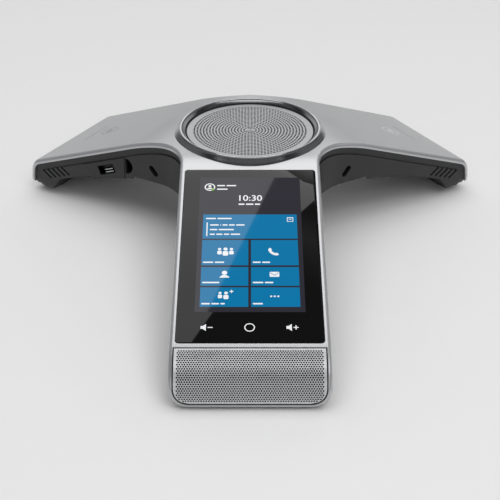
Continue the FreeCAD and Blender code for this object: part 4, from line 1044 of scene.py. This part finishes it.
@dataclass
class SideArm:
    """Print and light on the top of one side arm, in millimetres."""
    arm: Arm
    side: str
    page: int
    sign_reach: float = 118.0
    ring: float = 6.6
    print_thick: float = 0.03

    def mute_sign(self) -> None:
        """Printed ring round a microphone on its stand."""
        thick = self.print_thick
        head = arc((0, 1.9), 1.15, 0, 180, 10) + arc((0, -0.4), 1.15, 180, 360, 10)
        cup = arc((0, -0.2), 2.2, 180, 360, 14) + arc((0, -0.2), 1.75, 360, 180, 14)
        parts = [hollow_ring((0, 0), self.ring - 0.55, self.ring, 0.0, thick, 56),
                 outline_plate(head, 0.0, thick), outline_plate(cup, 0.0, thick),
                 plate((0, -3.0, thick / 2), (0.45, 1.3, thick)),
                 plate((0, -3.7, thick / 2), (2.6, 0.45, thick))]
        obj = place(join(parts), self.arm.matrix(self.sign_reach * MM, self.page))
        # The same print is lighter on the right arm and darker on the left: painted light and shade.
        finish = PRINT_LIT_COPY if self.side == "right" else PRINT_SHADED_COPY
        deliver(obj, f"mute_sign_{self.side}", finish, angle=None)

    def light(self) -> None:
        """Light guide bar let into the shell, softened at its edges."""
        node = f"mute_light_{self.side}"
        obj = from_node(node)
        apply_modifier(obj, "BEVEL", width=0.12 * MM, segments=2)
        deliver(obj, f"mute_light_bar_{self.side}", LIGHT_GUIDE, (node,))

    def build(self) -> None:
        """Make the arm's print and light."""
        self.mute_sign()
        self.light()


@dataclass
class Ports:
    """Contacts and springs inside the sockets, in millimetres."""
    usb_reach: float = 88.7
    strip: Triple = (1.1, 10.5, 0.16)
    strip_pitch: float = 2.5
    strip_rise: float = 1.0
    strip_out: float = 0.9
    finger: Triple = (7.2, 0.9, 0.7)
    finger_levels: tuple[float, ...] = (-0.1, -2.0)
    finger_along: float = 1.6
    finger_out: float = 7.9
    pin: Triple = (0.45, 7.5, 0.25)
    pin_pitch: float = 1.02
    pin_tilt: float = -24.0
    pin_back: float = 1.5
    pin_drop: float = 4.2

    def usb(self) -> None:
        """Four contact strips and two spring fingers of the USB port."""
        axes = LEFT.matrix(self.usb_reach * MM, -1).to_3x3()
        basis = axes.to_4x4()
        tongue, shell = middle_of("usb_tongue"), middle_of("usb_socket")
        strips, fingers = [], []
        for i in (-1.5, -0.5, 0.5, 1.5):
            shift = Vector((i * self.strip_pitch, -self.strip_out, self.strip_rise)) * MM
            strips.append(place(plate((0, 0, 0), self.strip, edge=0.05),
                                Matrix.Translation(tongue + axes @ shift) @ basis))
        deliver(join(strips), "usb_contacts", GOLD)
        for level in self.finger_levels:
            shift = Vector((self.finger_along, -self.finger_out, level)) * MM
            fingers.append(place(plate((0, 0, 0), self.finger, corner=0.2, edge=0.12),
                                 Matrix.Translation(shell + axes @ shift) @ basis))
        deliver(join(fingers), "usb_spring_fingers", NICKEL)

    def network(self) -> None:
        """Eight sprung contacts in the network socket."""
        low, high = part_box("network_socket")
        spot = Vector((0, (low.y + high.y) / 2 + self.pin_back * MM, high.z - self.pin_drop * MM))
        tilt = Matrix.Rotation(math.radians(self.pin_tilt), 4, "X")
        pins = [place(plate(((i - 3.5) * self.pin_pitch, 0, 0), self.pin, edge=0.08),
                      Matrix.Translation(spot) @ tilt) for i in range(8)]
        deliver(join(pins), "network_contacts", GOLD)

    def build(self) -> None:
        """Make the ports' contacts."""
        self.usb()
        self.network()


@dataclass
class Feet:
    """Rubber strips under the arms' ends, in millimetres."""
    size: Triple = (7.5, 56.0, 3.0)
    front_reach: float = 200.75
    side_reach: float = 148.25

    def build(self) -> None:
        """Make the strips with rounded ends and soft lower edges."""
        over = Matrix.Rotation(math.pi, 4, "X")
        for arm, name, reach in ((FRONT, "front", self.front_reach), (LEFT, "left", self.side_reach),
                                 (RIGHT, "right", self.side_reach)):
            foot = plate((0, 0, -self.size[2] / 2), self.size, corner=1.6, edge=0.6, steps=6)
            angle = math.radians(arm.turn)
            spot = Vector((0, HUB_Y, 0)) + Vector((math.cos(angle), math.sin(angle), 0)) * (reach * MM)
            obj = place(foot, Matrix.Translation(spot) @ Matrix.Rotation(angle, 4, "Z") @ over)
            deliver(obj, f"rubber_foot_{name}", RUBBER, (f"foot_{name}",))


@dataclass(frozen=True)
class Card:
    """Rectangular soft light that faces down before it is turned.

    Spot and size are in metres, the turn about X, Y and Z is in degrees, and radiance is the
    brightness of its face. A card that doesn't shine is left out of reflections, and one that
    doesn't fill is left out of matt surfaces. onto holds the beginnings of the names of the only
    pieces it lights, and lights all pieces where it is empty.
    """
    name: str
    spot: Triple
    turn: Triple
    size: Pair
    radiance: float
    shine: bool = True
    fill: bool = True
    onto: tuple[str, ...] = ()

    def build(self) -> None:
        """Hang the card in the studio."""
        light = bpy.data.lights.new(self.name, "AREA")
        light.shape = "RECTANGLE"
        light.size, light.size_y = self.size
        light.energy = self.radiance * math.pi * self.size[0] * self.size[1]
        obj = bpy.data.objects.new(self.name, light)
        obj.location = self.spot
        obj.rotation_euler = [math.radians(t) for t in self.turn]
        obj.visible_glossy = self.shine
        obj.visible_diffuse = self.fill
        bpy.context.scene.collection.objects.link(obj)
        if self.onto:
            lit = bpy.data.collections.new(self.name + "_lit")
            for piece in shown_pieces():
                if piece.name.startswith(self.onto):
                    lit.objects.link(piece)
            obj.light_linking.receiver_collection = lit


CARDS = (
    Card("left_back_card", (-0.573, 0.780, 1.2), (0, 0, -23.5), (1.2, 1.8), 1.15, fill=False,
         onto=("cover_glass", "screen_", "touch_key")),
    Card("top_card", (0.0, 0.85, 1.35), (-34, 0, 0), (1.5, 1.1), 1.75, fill=False,
         onto=("top_shell", "nose_grille")),
    Card("ring_card", (0.0, -0.42, 1.6), (15, 0, 0), (2.4, 0.57), 1.7, fill=False,
         onto=("trim_ring", "nose_grille")),
    Card("right_card", (1.15, -0.35, 1.3), (0, 45, 0), (0.8, 1.2), 1.5, fill=False, onto=("top_shell",)),
    Card("overhead_fill", (0.0, 0.0, 2.2), (0, 0, 0), (3.0, 3.0), 1.4, shine=False),
    Card("front_key", (0.9, -1.5, 1.9), (38, 0, 31), (1.2, 1.2), 2.6, shine=False),
)
# Brightness of the room by height: sine of the elevation, then the level.
ROOM = ((0.0, 0.36), (0.12, 0.44), (0.3, 0.9), (0.54, 0.95), (0.63, 0.1), (0.73, 0.08), (0.81, 0.24),
        (0.9, 0.1))


@dataclass
class Studio:
    """Pale floor, soft lights and the camera."""
    camera_back: float = 0.70227
    camera_height: float = 0.39757
    tilt_down: float = 28.89
    lens: float = 83.0
    shift: float = -0.0899

    def floor(self) -> None:
        """Large level floor."""
        deselect()
        bpy.ops.mesh.primitive_plane_add(size=12.0)
        floor = bpy.context.object
        floor.name = "studio_floor"
        PAINTS.dress(floor, FLOOR)
        floor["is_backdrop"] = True

    def sky(self) -> None:
        """Grey room: brighter in a band over the horizon, dark overhead and to both sides."""
        world = bpy.data.worlds.new("studio_room")
        bpy.context.scene.world = world
        world.use_nodes = True
        tree = world.node_tree
        where = add_node(tree, "TexCoord").outputs["Generated"]
        split = add_node(tree, "SeparateXYZ", {"Vector": where})
        ramp = add_node(tree, "ValToRGB", {"Fac": split.outputs["Z"]})
        ramp.color_ramp.elements[0].position = ROOM[0][0]
        ramp.color_ramp.elements[1].position = ROOM[-1][0]
        for position, _level in ROOM[1:-1]:
            ramp.color_ramp.elements.new(position)
        for element, (_position, level) in zip(ramp.color_ramp.elements, ROOM):
            element.color = (level, level, level, 1.0)
        aside = add_node(tree, "Math", {0: split.outputs["X"]}, operation="ABSOLUTE")
        dim = add_node(tree, "MapRange",
                       {"Value": aside.outputs[0], "From Min": 0.4, "From Max": 0.8,
                        "To Min": 1.0, "To Max": 0.3})
        tree.links.new(ramp.outputs["Color"], tree.nodes["Background"].inputs["Color"])
        tree.links.new(dim.outputs["Result"], tree.nodes["Background"].inputs["Strength"])

    def camera(self) -> None:
        """Camera in front of the display arm, looking down at the telephone."""
        data = bpy.data.cameras.new("studio_camera")
        data.lens = self.lens
        data.shift_y = self.shift
        obj = bpy.data.objects.new("studio_camera", data)
        obj.location = (0.0, HUB_Y - self.camera_back, self.camera_height)
        obj.rotation_euler = (math.radians(90.0 - self.tilt_down), 0.0, 0.0)
        bpy.context.scene.collection.objects.link(obj)
        bpy.context.scene.camera = obj

    def build(self) -> None:
        """Set up the studio."""
        self.camera()
        self.floor()
        for card in CARDS:
            card.build()
        self.sky()
        bpy.context.scene.view_settings.view_transform = "Standard"


def main() -> None:
    """Build the telephone and its studio."""
    logging.basicConfig(level=logging.INFO, format="%(message)s")
    Carried().build()
    Window().build()
    Loudspeaker().build()
    Nose().build()
    Display().build()
    SideArm(RIGHT, "right", 1).build()
    SideArm(LEFT, "left", -1).build()
    Ports().build()
    Feet().build()
    Studio().build()


if __name__ == "__main__":
    main()
